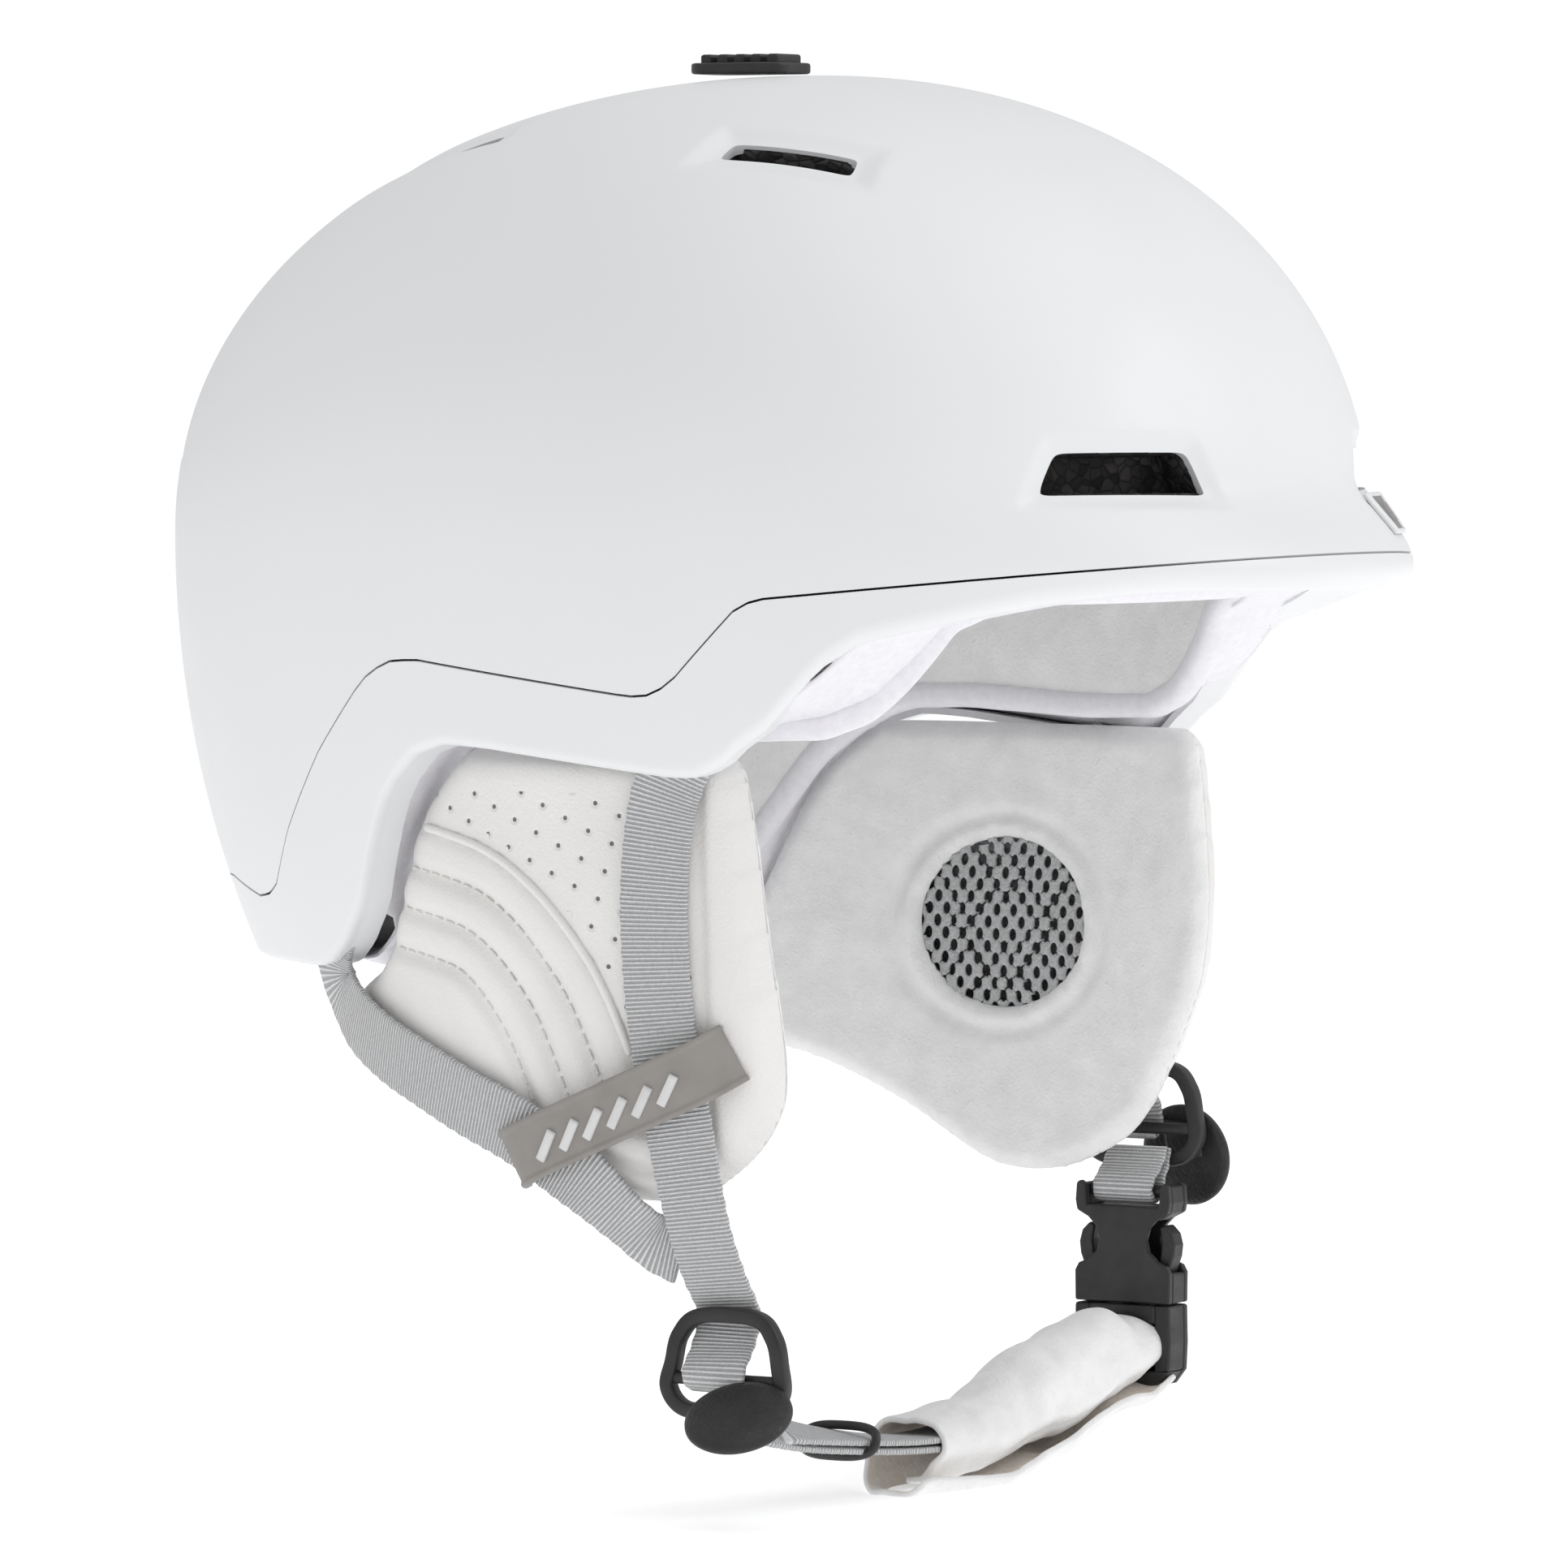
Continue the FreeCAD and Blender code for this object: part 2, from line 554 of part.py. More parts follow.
keep_shape("fit_rack_left", rack_solid(1))
keep_shape("fit_rack_right", rack_solid(-1))

# ---------------------------------------------------------------- goggle clip at the back
# A base plate with two ears, a pin through them, and a tongue that swings on the pin.
CLIP_Z = -38.0
CLIP_TILT = math.degrees(math.atan2(abs(CLIP_Z) * BACK, DROP * DROP * section_scale(CLIP_Z, 0)))
clip_place = FreeCAD.Placement(V(0, BACK * section_scale(CLIP_Z, 0) + 0.6, CLIP_Z), Rotation(V(1, 0, 0), -90 - CLIP_TILT))
PIN_LIFT = 4.2
EAR_WIDE = 3.0
clip_half = size("clip_wide") / 2
pin_radius = size("pin_radius")
gap = size("moving_gap")


def clip_bar(radius, half_long):
    return Part.makeCylinder(radius, 2 * half_long, V(-half_long, 0, PIN_LIFT), V(1, 0, 0))


base = Part.makeBox(2 * clip_half, 16, 1.4, V(-clip_half, -4, 0))
for ear_x in (-clip_half, clip_half - EAR_WIDE):
    ear = Part.makeBox(EAR_WIDE, 5.6, PIN_LIFT, V(ear_x, -2.8, 0))
    round_end = Part.makeCylinder(2.8, EAR_WIDE, V(ear_x, 0, PIN_LIFT), V(1, 0, 0))
    base = base.fuse([ear, round_end])
base = base.cut(clip_bar(pin_radius, clip_half + 1))
keep_shape("goggle_clip_base", base).Placement = clip_place
keep_shape("goggle_clip_pin", clip_bar(pin_radius - 0.02, clip_half)).Placement = clip_place
tongue_half = clip_half - EAR_WIDE - gap
tongue = Part.makeBox(2 * tongue_half, 24, size("clip_thick"), V(-tongue_half, 0, PIN_LIFT - size("clip_thick") / 2))
hook = Part.makeBox(2 * tongue_half, 2.2, 1.4, V(-tongue_half, 21.8, PIN_LIFT - size("clip_thick") / 2 - 1.4))
tongue = tongue.fuse([clip_bar(2.5, tongue_half), hook]).cut(clip_bar(pin_radius + 0.06, clip_half))
keep_shape("goggle_clip_tongue", tongue).Placement = clip_place


# ---------------------------------------------------------------- ear pads
PAD_TOP = -43.5
PAD_MIDDLE_Y = 8.0
FRONT_BEND = 300.0
REAR_BEND = 200.0
DOWN_BEND = 1176.0


def pad_face(y_place, z_place):
    """Distance of the ear pad's outer face from the centre plane."""
    bend = FRONT_BEND if y_place < PAD_MIDDLE_Y else REAR_BEND
    return size("pad_out") - (y_place - PAD_MIDDLE_Y) ** 2 / bend - (z_place + 45.0) ** 2 / DOWN_BEND


def pad_outline(forward):
    """Ear pad seen from the side, as (y, z), the front edge moved forward."""
    return [
        (-28.0 - forward, PAD_TOP), (-33.0 - forward, -50.0), (-36.5 - forward, -75.0), (-39.5 - 0.8 * forward, -100.0),
        (-39.5 - 0.5 * forward, -114.0), (-34.0 - 0.3 * forward, -125.0), (-23.0, -135.0), (-11.0, -139.5),
        (1.0, -139.0), (10.0, -134.5), (27.0, -126.5), (46.0, -120.0), (70.0, -112.0), (78.0, -106.0),
        (79.5, -100.0), (74.0, -95.5), (62.0, -92.0), (57.5, -80.0), (54.0, -70.0), (49.0, -59.0),
        (42.0, -50.0), (34.0, PAD_TOP),
    ]


def pad_layer(side, inset, wall, outline_points):
    """One layer of an ear pad: a curved slab trimmed to the pad's outline."""
    rows = []
    for step_z in range(9):
        z_place = -40.0 - 13.0 * step_z
        row = [V(side * (pad_face(-70 + 13.0 * step_y, z_place) - inset), -70 + 13.0 * step_y, z_place)
               for step_y in range(14)]
        rows.append(row)
    surface = Part.BSplineSurface()
    surface.interpolate(rows)
    slab = surface.toShape().extrude(V(-side * wall, 0, 0))
    corners = [V(0, y_place, z_place) for y_place, z_place in outline_points]
    trim = Part.Face(Part.makePolygon(corners + corners[:1])).extrude(V(side * 150, 0, 0))
    return slab.common(trim)


def band(stations, wide, thick):
    """Flat webbing through (point, outward normal) stations."""
    wires = []
    for number, (point, normal) in enumerate(stations):
        before = stations[max(number - 1, 0)][0]
        after = stations[min(number + 1, len(stations) - 1)][0]
        ahead = (V(*after) - V(*before)).normalize()
        outward = V(*normal)
        across = ahead.cross(outward).normalize()
        outward = across.cross(ahead).normalize()
        corners = [V(*point) + across * (wide / 2 * a) + outward * (thick / 2 * b)
                   for a, b in ((-1, -1), (1, -1), (1, 1), (-1, 1))]
        wires.append(Part.makePolygon(corners + corners[:1]))
    return Part.makeLoft(wires, True, False)


WIDE = size("webbing_wide")
THICK = size("webbing_thick")
STRAP_LIFT = 0.9 + THICK / 2
MESH_Y = 1.0
MESH_Z = -88.0
RIGHT_FRAME = V(-81.5, -26.0, -172.0)
LEFT_FRAME = V(91.5, -30.0, -130.5)


def on_pad(side, y_place, z_place, lift):
    """A station lifted off the pad's outer face, with the face's normal."""
    bend = FRONT_BEND if y_place < PAD_MIDDLE_Y else REAR_BEND
    normal = V(side, 2 * (y_place - PAD_MIDDLE_Y) / bend, 2 * (z_place + 45.0) / DOWN_BEND).normalize()
    return (V(side * pad_face(y_place, z_place), y_place, z_place) + normal * lift, normal)


for side, word, forward in ((-1, "right", 0.0), (1, "left", size("left_pad_forward"))):
    full = pad_outline(forward)
    inset = 0.0
    for layer, wall in (("cover", size("cover_wall")), ("foam", size("core_wall")), ("lining", size("lining_wall"))):
        solid = pad_layer(side, inset, wall, full)
        if layer == "lining":
            hole = Part.makeCylinder(size("mesh_diameter") / 2, 200, V(side * 20, MESH_Y, MESH_Z), V(side, 0, 0))
            mesh_disc = Part.makeCylinder(size("mesh_diameter") / 2 - 0.2, 200,
                                          V(side * 20, MESH_Y, MESH_Z), V(side, 0, 0))
            keep_shape("ear_mesh_" + word, pad_layer(side, inset + 0.6, 1.6, full).common(mesh_disc))
            solid = solid.cut(hole)
        keep_shape("ear_" + layer + "_" + word, solid)
        inset += wall + 0.15

    outward = (side, 0, 0)
    frame_middle = RIGHT_FRAME if side < 0 else LEFT_FRAME
    top = frame_middle.z + size("frame_tall") / 2
    places = [(-22.0, -45.5), (-18.5, -56.0), (-16.5, -75.0), (-17.0, -98.0)]
    if side < 0:
        places += [(-19.5, -120.0)]
    stations = [on_pad(side, y_place, z_place, STRAP_LIFT) for y_place, z_place in places]
    if side < 0:
        stations.append(((-87.5, -23.0, -141.0), outward))
    end_y = frame_middle.y + (1.0 if side < 0 else 6.0)
    stations.append(((frame_middle.x, end_y, top + 2.6), outward))
    keep_shape("front_strap_" + word, band(stations, WIDE, THICK))

    places = [(64.0, -103.0), (50.0, -111.0), (33.0, -117.5), (18.0, -124.0)]
    if side > 0:
        places = [(64.0, -101.0), (50.0, -107.5), (33.0, -112.5), (18.0, -117.0), (4.0, -122.0)]
    stations = [((side * 80.0, 66.0, -79.0), (side * 0.9, 0.42, -0.1)),
                ((side * 76.6, 70.0, -91.0), (side * 0.88, 0.46, -0.1))]
    stations += [on_pad(side, y_place, z_place, STRAP_LIFT + 1.0) for y_place, z_place in places]
    if side < 0:
        tucked = (-0.9, 0, -0.4)
        stations += [((-92.0, 5.0, -132.0), (-1, 0, -0.15)), ((-89.0, -3.5, -141.0), tucked),
                     ((-84.6, -8.6, -146.5), tucked)]
    else:
        stations += [((91.5, -7.0, -126.5), outward)]
    keep_shape("rear_strap_" + word, band(stations, WIDE, THICK))

    lift = STRAP_LIFT + THICK + size("keeper_thick") / 2 + 1.6
    shift = 0.0 if side < 0 else 10.0
    places = [(19.0, -129.0 + shift), (8.0, -124.5 + shift), (-5.0, -119.0 + shift), (-18.0, -113.0 + shift),
              (-29.0, -106.5 + shift)]
    keeper = band([on_pad(side, y_place, z_place, lift) for y_place, z_place in places],
                  size("keeper_wide"), size("keeper_thick"))
    keep_shape("strap_keeper_" + word, keeper)

    # Adjuster frame: a rounded D with a bar across it.
    frame = new_body("adjuster_frame_" + word, tuple(frame_middle), Rotation(V(0, 1, 0), 90))
    frame_sketch = new_sketch(frame, "XY_Plane")
    half_tall = size("frame_tall") / 2
    half_wide = size("frame_wide") / 2
    add_polygon(frame_sketch, [(-half_tall, -half_wide + 7), (-half_tall, half_wide - 9), (-half_tall + 5, half_wide - 3),
                               (half_tall - 5, half_wide), (half_tall, half_wide - 5), (half_tall, -half_wide + 5),
                               (half_tall - 5, -half_wide), (-half_tall + 5, -half_wide + 2)])
    add_pad(frame, frame_sketch, "Sizes.frame_thick", both_ways=True)
    upper_slot = new_sketch(frame, "XY_Plane")
    upper_slot.setExpression("AttachmentOffset.Base.x", "-Sizes.frame_tall / 4 + 0.6")
    add_rectangle(upper_slot, "Sizes.frame_tall / 2 - 1.5 * Sizes.frame_limb", "Sizes.frame_wide - 4 - 3 * Sizes.frame_limb")
    add_pocket(frame, upper_slot, "Sizes.frame_thick * 2", both_ways=True)
    lower_slot = new_sketch(frame, "XY_Plane")
    lower_slot.setExpression("AttachmentOffset.Base.x", "Sizes.frame_tall / 4 - 0.4")
    add_rectangle(lower_slot, "Sizes.frame_tall / 2 - 1.5 * Sizes.frame_limb", "Sizes.frame_wide - 4 - 2 * Sizes.frame_limb")
    add_pocket(frame, lower_slot, "Sizes.frame_thick * 2", both_ways=True)
    keep_object("adjuster_frame_" + word, frame)

    # Locking flap: a round plate that leans out from the frame, flat where it meets it.
    disc = doc.addObject("Part::Cylinder", "flap_disc_" + word)
    disc.setExpression("Radius", "Sizes.flap_diameter / 2")
    disc.setExpression("Height", "Sizes.flap_thick")
    lean = Rotation(V(0, 0, 1), V(side * 0.54, 0, 0.84))
    disc.Placement = FreeCAD.Placement(frame_middle + V(side * 7.5, -8.0, -8.5), lean)
    trim_box = doc.addObject("Part::Box", "flap_trim_" + word)
    trim_box.Length = 60
    trim_box.Width = 60
    trim_box.Height = 60
    edge = frame_middle.x + side * (size("frame_thick") / 2 + size("moving_gap"))
    trim_corner = V(edge if side > 0 else edge - 60, frame_middle.y - 30, frame_middle.z - 40)
    trim_box.Placement = FreeCAD.Placement(trim_corner, Rotation())
    flap = doc.addObject("Part::Common", "adjuster_flap_" + word)
    flap.Base = disc
    flap.Tool = trim_box
    keep_object("adjuster_flap_" + word, flap)

# Anchor plates that hold the strap ends inside the shell.
front_anchor = block((96.6, -30.0, -42.5), (98.8, -14.0, -36.5))
keep_shape("front_anchors", Part.makeCompound([front_anchor, mirrored(front_anchor)]))
rear_anchor = block((82.4, 59.0, -79.0), (84.4, 68.0, -72.0))
keep_shape("rear_anchors", Part.makeCompound([rear_anchor, mirrored(rear_anchor)]))

# ---------------------------------------------------------------- chin strap, ring, chin pad
CHIN_LINE = [
    ((-77.0, -27.0, -183.8), (-0.5, -0.45, 0.7)), ((-62.0, -27.2, -188.5), (-0.3, -0.35, 0.9)),
    ((-38.0, -28.0, -193.0), (-0.1, -0.15, 1.0)), ((-12.0, -30.0, -196.0), (0, 0, 1)),
    ((12.0, -31.0, -195.5), (0, 0, 1)), ((38.0, -32.0, -191.5), (0, 0, 1)), ((60.0, -32.5, -186.5), (0, 0, 1)),
    ((76.4, -32.5, -182.5), (0, 0, 1)),
]
keep_shape("chin_strap", band(CHIN_LINE, WIDE, THICK))

ring = doc.addObject("Part::Torus", "ring_keeper")
ring.setExpression("Radius1", "Sizes.ring_radius")
ring.setExpression("Radius2", "Sizes.ring_section")
ring.Placement = FreeCAD.Placement(V(-38.0, -28.0, -193.0), Rotation(V(0, 0, 1), V(0.55, 0, 0.83)))
keep_object("ring_keeper", ring)


def oval_loft(stations, grow):
    """Loft of ovals standing across the chin strap."""
    wires = []
    for point, half_wide, half_tall in stations:
        oval = Part.Ellipse(V(0, 0, 0), max(half_wide, half_tall) + grow, min(half_wide, half_tall) + grow)
        wire = Part.Wire([oval.toShape()])
        if half_tall > half_wide:
            wire.rotate(V(0, 0, 0), V(0, 0, 1), 90)
        wire.rotate(V(0, 0, 0), V(1, 0, 0), 90)
        wire.rotate(V(0, 0, 0), V(0, 0, 1), 90)
        wire.translate(V(*point))
        wires.append(wire)
    return Part.makeLoft(wires, True, False)


CHIN_PAD = [((-14.0, -30.0, -196.5), 11.5, 7.0), ((12.0, -31.0, -196.0), 11.8, 8.0),
            ((40.0, -32.0, -191.5), 12.0, 9.0), ((70.0, -32.6, -184.6), 12.2, 9.6)]
chin_inner = [((point[0] + step * 4, point[1], point[2]), half_wide, half_tall) for step, (point, half_wide, half_tall)
              in zip((-1, 0, 0, 1), CHIN_PAD)]
chin_pad = oval_loft(CHIN_PAD, 0).cut(oval_loft(chin_inner, -size("chin_wall")))
keep_shape("chin_pad", chin_pad)

# ---------------------------------------------------------------- side release buckle
# Both halves stand in the YZ plane; the socket hangs from the left strap.
BUCKLE_X = 83.0
BUCKLE_Y = -32.0
MOUTH_Z = -172.0


def plate(low_high_y, low_high_z, thick):
    return block((BUCKLE_X - thick / 2, BUCKLE_Y + low_high_y[0], low_high_z[0]),
                 (BUCKLE_X + thick / 2, BUCKLE_Y + low_high_y[1], low_high_z[1]))


half = size("buckle_wide") / 2
thick = size("buckle_thick")
wall = size("buckle_wall")
socket_top = MOUTH_Z + size("socket_tall")
socket = plate((-half, half), (MOUTH_Z, socket_top - 7), thick)
cavity = plate((-half + wall, half - wall), (MOUTH_Z - 1, MOUTH_Z + size("prong_tall") + 1.0), thick - 2 * wall)
windows = plate((-half - 1, half + 1), (MOUTH_Z + 8.5, MOUTH_Z + 16.5), thick - 2 * wall)
neck = plate((-half, half), (socket_top - 7.2, socket_top), 4.0)
strap_slot = plate((-WIDE / 2 - 0.7, WIDE / 2 + 0.7), (socket_top - 5.6, socket_top - 2.6), 20.0)
socket = socket.cut([cavity, windows]).fuse(neck).cut(strap_slot)
keep_shape("buckle_socket", socket)

plug_gap = size("moving_gap")
plug_top = MOUTH_Z - plug_gap
plug = plate((-half, half), (plug_top - size("plug_tall"), plug_top), thick)
bar_slots = [plate((-WIDE / 2 - 0.7, WIDE / 2 + 0.7), (plug_top - 8.0, plug_top - 4.6), 20.0),
             plate((-WIDE / 2 - 0.7, WIDE / 2 + 0.7), (plug_top - 14.4, plug_top - 11.0), 20.0)]
plug = plug.cut(bar_slots)
prong_thick = thick - 2 * wall - 2 * plug_gap
reach = size("prong_tall") - 1.0
outer_edge = half - wall - plug_gap
prongs = []
for hand in (-1, 1):
    low, high = sorted((hand * outer_edge, hand * (outer_edge - size("prong_wide"))))
    prongs.append(plate((low, high), (plug_top - 1, plug_top + reach), prong_thick))
prongs.append(plate((-1.6, 1.6), (plug_top - 1, plug_top + reach), prong_thick - 1.0))
keep_shape("buckle_plug", plug.multiFuse(prongs))

strap_top = LEFT_FRAME.z - size("frame_tall") / 2 + 3.0
strap_y = (LEFT_FRAME.y + BUCKLE_Y) / 2
buckle_line = [((LEFT_FRAME.x - size("frame_thick") / 2 - THICK / 2 - 0.5, strap_y, strap_top), (1, 0, 0)),
               ((BUCKLE_X + 3.6, strap_y, socket_top - 5.5), (1, 0, 0))]
keep_shape("buckle_strap", band(buckle_line, WIDE, THICK))

# ---------------------------------------------------------------- checks and files
doc.recompute()
for feature in doc.Objects:
    if "Invalid" in feature.State or "Error" in feature.State:
        raise RuntimeError(feature.Name + " failed: " + str(feature.State))
for name, feature in sub_parts.items():
    shape = feature.Shape
    if shape.isNull() or not shape.isValid() or shape.Volume <= 0:
        raise RuntimeError(name + " is not a valid solid")
for name, feature in sub_parts.items():
    feature.Shape.exportStep("parts/" + name + ".step")
print(len(sub_parts), "sub-parts written")
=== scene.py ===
import bmesh
import bpy
import math
from mathutils import Matrix, Vector, noise


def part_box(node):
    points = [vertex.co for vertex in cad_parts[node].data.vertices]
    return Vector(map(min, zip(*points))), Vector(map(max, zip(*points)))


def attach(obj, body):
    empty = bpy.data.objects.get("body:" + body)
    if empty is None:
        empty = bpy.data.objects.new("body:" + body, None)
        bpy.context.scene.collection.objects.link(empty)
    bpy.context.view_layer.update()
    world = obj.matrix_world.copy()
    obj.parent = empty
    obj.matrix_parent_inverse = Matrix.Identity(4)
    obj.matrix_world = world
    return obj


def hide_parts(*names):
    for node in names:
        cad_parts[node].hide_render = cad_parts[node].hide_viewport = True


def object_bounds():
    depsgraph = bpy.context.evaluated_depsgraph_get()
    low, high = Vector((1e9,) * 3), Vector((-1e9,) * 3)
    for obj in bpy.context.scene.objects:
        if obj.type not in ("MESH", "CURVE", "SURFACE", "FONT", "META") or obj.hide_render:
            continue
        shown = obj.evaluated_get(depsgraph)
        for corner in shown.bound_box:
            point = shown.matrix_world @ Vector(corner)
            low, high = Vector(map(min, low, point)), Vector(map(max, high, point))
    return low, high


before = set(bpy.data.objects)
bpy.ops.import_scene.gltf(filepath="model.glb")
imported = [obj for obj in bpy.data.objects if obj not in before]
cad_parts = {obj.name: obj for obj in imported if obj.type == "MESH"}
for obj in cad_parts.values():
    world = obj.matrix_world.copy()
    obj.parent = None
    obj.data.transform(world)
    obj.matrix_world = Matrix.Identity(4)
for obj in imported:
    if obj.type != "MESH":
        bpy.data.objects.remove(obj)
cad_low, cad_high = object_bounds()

# Camera and stage: a long lens from the front right, just above the brow, over a pale floor
# under one broad overhead light, a soft key from the left and a weak fill from the right.
azimuth = math.radians(-59)
elevation = math.radians(2.6)
backward = Vector((math.sin(azimuth) * math.cos(elevation), -math.cos(azimuth) * math.cos(elevation),
                   math.sin(elevation)))
lens = bpy.data.cameras.new("camera")
lens.lens = 232
lens.sensor_width = 36
lens.clip_start = 0.05
lens.clip_end = 40
camera = bpy.data.objects.new("camera", lens)
camera.location = Vector((0, 0.0086, -0.0543)) + backward * 2.2
camera.rotation_euler = backward.to_track_quat("Z", "Y").to_euler()
bpy.context.scene.collection.objects.link(camera)
bpy.context.scene.camera = camera
bpy.context.scene.view_settings.view_transform = "Standard"

world = bpy.data.worlds.new("studio")
bpy.context.scene.world = world
world.use_nodes = True
sky = world.node_tree.nodes["Background"]
sky.inputs["Color"].default_value = (1, 1, 1, 1)
sight = world.node_tree.nodes.new("ShaderNodeLightPath")
glow = world.node_tree.nodes.new("ShaderNodeMapRange")
glow.inputs["To Min"].default_value = 0.64
glow.inputs["To Max"].default_value = 1.05
world.node_tree.links.new(sight.outputs["Is Camera Ray"], glow.inputs["Value"])
world.node_tree.links.new(glow.outputs["Result"], sky.inputs["Strength"])


def add_light(name, place, aim, wide, watts, color):
    """Square soft light."""
    data = bpy.data.lights.new(name, "AREA")
    data.size = wide
    data.energy = watts
    data.color = color
    light = bpy.data.objects.new(name, data)
    light.location = place
    light.rotation_euler = (Vector(place) - Vector(aim)).to_track_quat("Z", "Y").to_euler()
    bpy.context.scene.collection.objects.link(light)


add_light("overhead", (0.1, -0.3, 1.6), (0, 0, 0), 1.6, 7, (1, 1, 1))
add_light("key", (0.7, -1.8, 1.1), (0, 0, -0.05), 1.0, 9, (1, 1, 1))
add_light("fill", (-1.9, 0.3, 0.3), (0, 0, -0.05), 1.2, 1, (1, 1, 1))


def new_material(name, color, roughness):
    """A principled material, with its nodes, links and shader."""
    material = bpy.data.materials.new(name)
    material.use_nodes = True
    shader = material.node_tree.nodes["Principled BSDF"]
    shader.inputs["Base Color"].default_value = (*color, 1)
    shader.inputs["Roughness"].default_value = roughness
    return material, material.node_tree.nodes, material.node_tree.links, shader


def add_bump(nodes, links, shader, height, distance, strength=1.0):
    """Relief from a height socket, in metres."""
    bump = nodes.new("ShaderNodeBump")
    bump.inputs["Distance"].default_value = distance
    bump.inputs["Strength"].default_value = strength
    links.new(height, bump.inputs["Height"])
    if shader.inputs["Normal"].is_linked:
        links.new(shader.inputs["Normal"].links[0].from_socket, bump.inputs["Normal"])
    links.new(bump.outputs["Normal"], shader.inputs["Normal"])


def noise_on(nodes, links, scale, detail=3.0, where="Object"):
    """Noise over the piece, scale in cells a metre."""
    place = nodes.new("ShaderNodeTexCoord")
    cells = nodes.new("ShaderNodeTexNoise")
    cells.inputs["Scale"].default_value = scale
    cells.inputs["Detail"].default_value = detail
    links.new(place.outputs[where], cells.inputs["Vector"])
    return cells.outputs["Fac"]


def ramp(nodes, links, source, stops):
    """Colour ramp over a source, stops as (place, colour)."""
    blend = nodes.new("ShaderNodeValToRGB")
    while len(blend.color_ramp.elements) < len(stops):
        blend.color_ramp.elements.new(0.5)
    for element, (place, color) in zip(blend.color_ramp.elements, stops):
        element.position = place
        element.color = (*color, 1)
    links.new(source, blend.inputs["Fac"])
    return blend.outputs["Color"]


def keep_piece(name, bm, materials, body, smooth=True):
    """The bmesh becomes a piece that rides on a body."""
    mesh = bpy.data.meshes.new(name)
    bm.to_mesh(mesh)
    bm.free()
    for material in materials:
        mesh.materials.append(material)
    mesh.polygons.foreach_set("use_smooth", [smooth] * len(mesh.polygons))
    piece = bpy.data.objects.new(name, mesh)
    bpy.context.scene.collection.objects.link(piece)
    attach(piece, body)
    return piece


def add_wall(piece, thickness, offset=-1.0):
    wall = piece.modifiers.new("wall", "SOLIDIFY")
    wall.thickness = thickness
    wall.offset = offset
    wall.use_quality_normals = True
    return wall


def add_edge_round(piece, width, segments=2, degrees=45):
    edge = piece.modifiers.new("edge round", "BEVEL")
    edge.width = width
    edge.segments = segments
    edge.limit_method = "ANGLE"
    edge.angle_limit = math.radians(degrees)
    edge.harden_normals = True


floor_material, nodes, links, shader = new_material("floor", (0.95, 0.95, 0.95), 0.9)
shader.inputs["Specular IOR Level"].default_value = 0
shader.inputs["Emission Color"].default_value = (1, 1, 1, 1)
shader.inputs["Emission Strength"].default_value = 0.4
links.new(ramp(nodes, links, noise_on(nodes, links, 1.5), [(0.3, (0.945,) * 3), (0.7, (0.955,) * 3)]),
          shader.inputs["Base Color"])
floor_mesh = bmesh.new()
bmesh.ops.create_circle(floor_mesh, cap_ends=True, segments=96, radius=14)
bmesh.ops.translate(floor_mesh, verts=floor_mesh.verts, vec=(0, 0, cad_low.z - 0.001))
floor_data = bpy.data.meshes.new("floor")
floor_mesh.to_mesh(floor_data)
floor_mesh.free()
floor_data.materials.append(floor_material)
floor = bpy.data.objects.new("floor", floor_data)
bpy.context.scene.collection.objects.link(floor)

# Upper shell: a hard moulding of matt icy white plastic, 2.2 mm thick, pierced by eight air slots
# that each sit in a soft dish. It drops onto the lower shell along a stepped seam.
FRONT, BACK, HALF_WIDTH, RISE, DROP = 0.1195, 0.147, 0.109, 0.0995, 0.185
PLAN_POWER, CROWN_POWER = 2.2, 2.12
BRIM_REACH, BRIM_TOP, BRIM_TIP = 0.0135, 0.014, -0.006
COLUMNS = 240
SEAM = [(-400, 0), (-133, -2), (-46, -10.8), (-42, -12.6), (-27.5, -28), (-23, -30.8), (-18, -31.2),
        (36, -24.4),
        (44, -25), (51, -29), (66, -44.5), (80, -62), (88, -74), (92, -76.6), (97, -77.5), (112, -74),
        (400, -74)]


def mm(*lengths):
    """A vector given in millimetres."""
    return Vector(lengths) / 1000


def signed_power(amount, power):
    return math.copysign(abs(amount) ** power, amount)


def ease(share):
    share = min(max(share, 0.0), 1.0)
    return share * share * (3 - 2 * share)


def line_height(outline, y_place):
    """Height of a side-view line, points in millimetres, where it passes y_place."""
    for (y_low, z_low), (y_high, z_high) in zip(outline, outline[1:]):
        if y_place * 1000 <= y_high:
            share = (y_place * 1000 - y_low) / (y_high - y_low)
            return (z_low + (z_high - z_low) * share) / 1000
    return outline[-1][1] / 1000


def shell_point(turn, height, inset=0.0, flared=True):
    """Point of the shell surface; turn runs round from the back, height is z."""
    if height >= 0:
        scale = max(1 - (height / (RISE - inset)) ** CROWN_POWER, 0.0) ** (1 / CROWN_POWER)
    else:
        scale = math.sqrt(1 - (height / DROP) ** 2)
    side = signed_power(math.sin(turn), 2 / PLAN_POWER)
    ahead = -signed_power(math.cos(turn), 2 / PLAN_POWER)
    reach = (FRONT if ahead < 0 else BACK) - inset
    y_place = reach * scale * ahead
    if flared and ahead < 0:
        flare = BRIM_REACH * min(max((BRIM_TOP - height) / (BRIM_TOP - BRIM_TIP), 0.0), 1.0)
        y_place -= ease(flare / BRIM_REACH) * BRIM_REACH * abs(math.cos(turn)) ** 3
    return Vector(((HALF_WIDTH - inset) * scale * side, y_place, height))


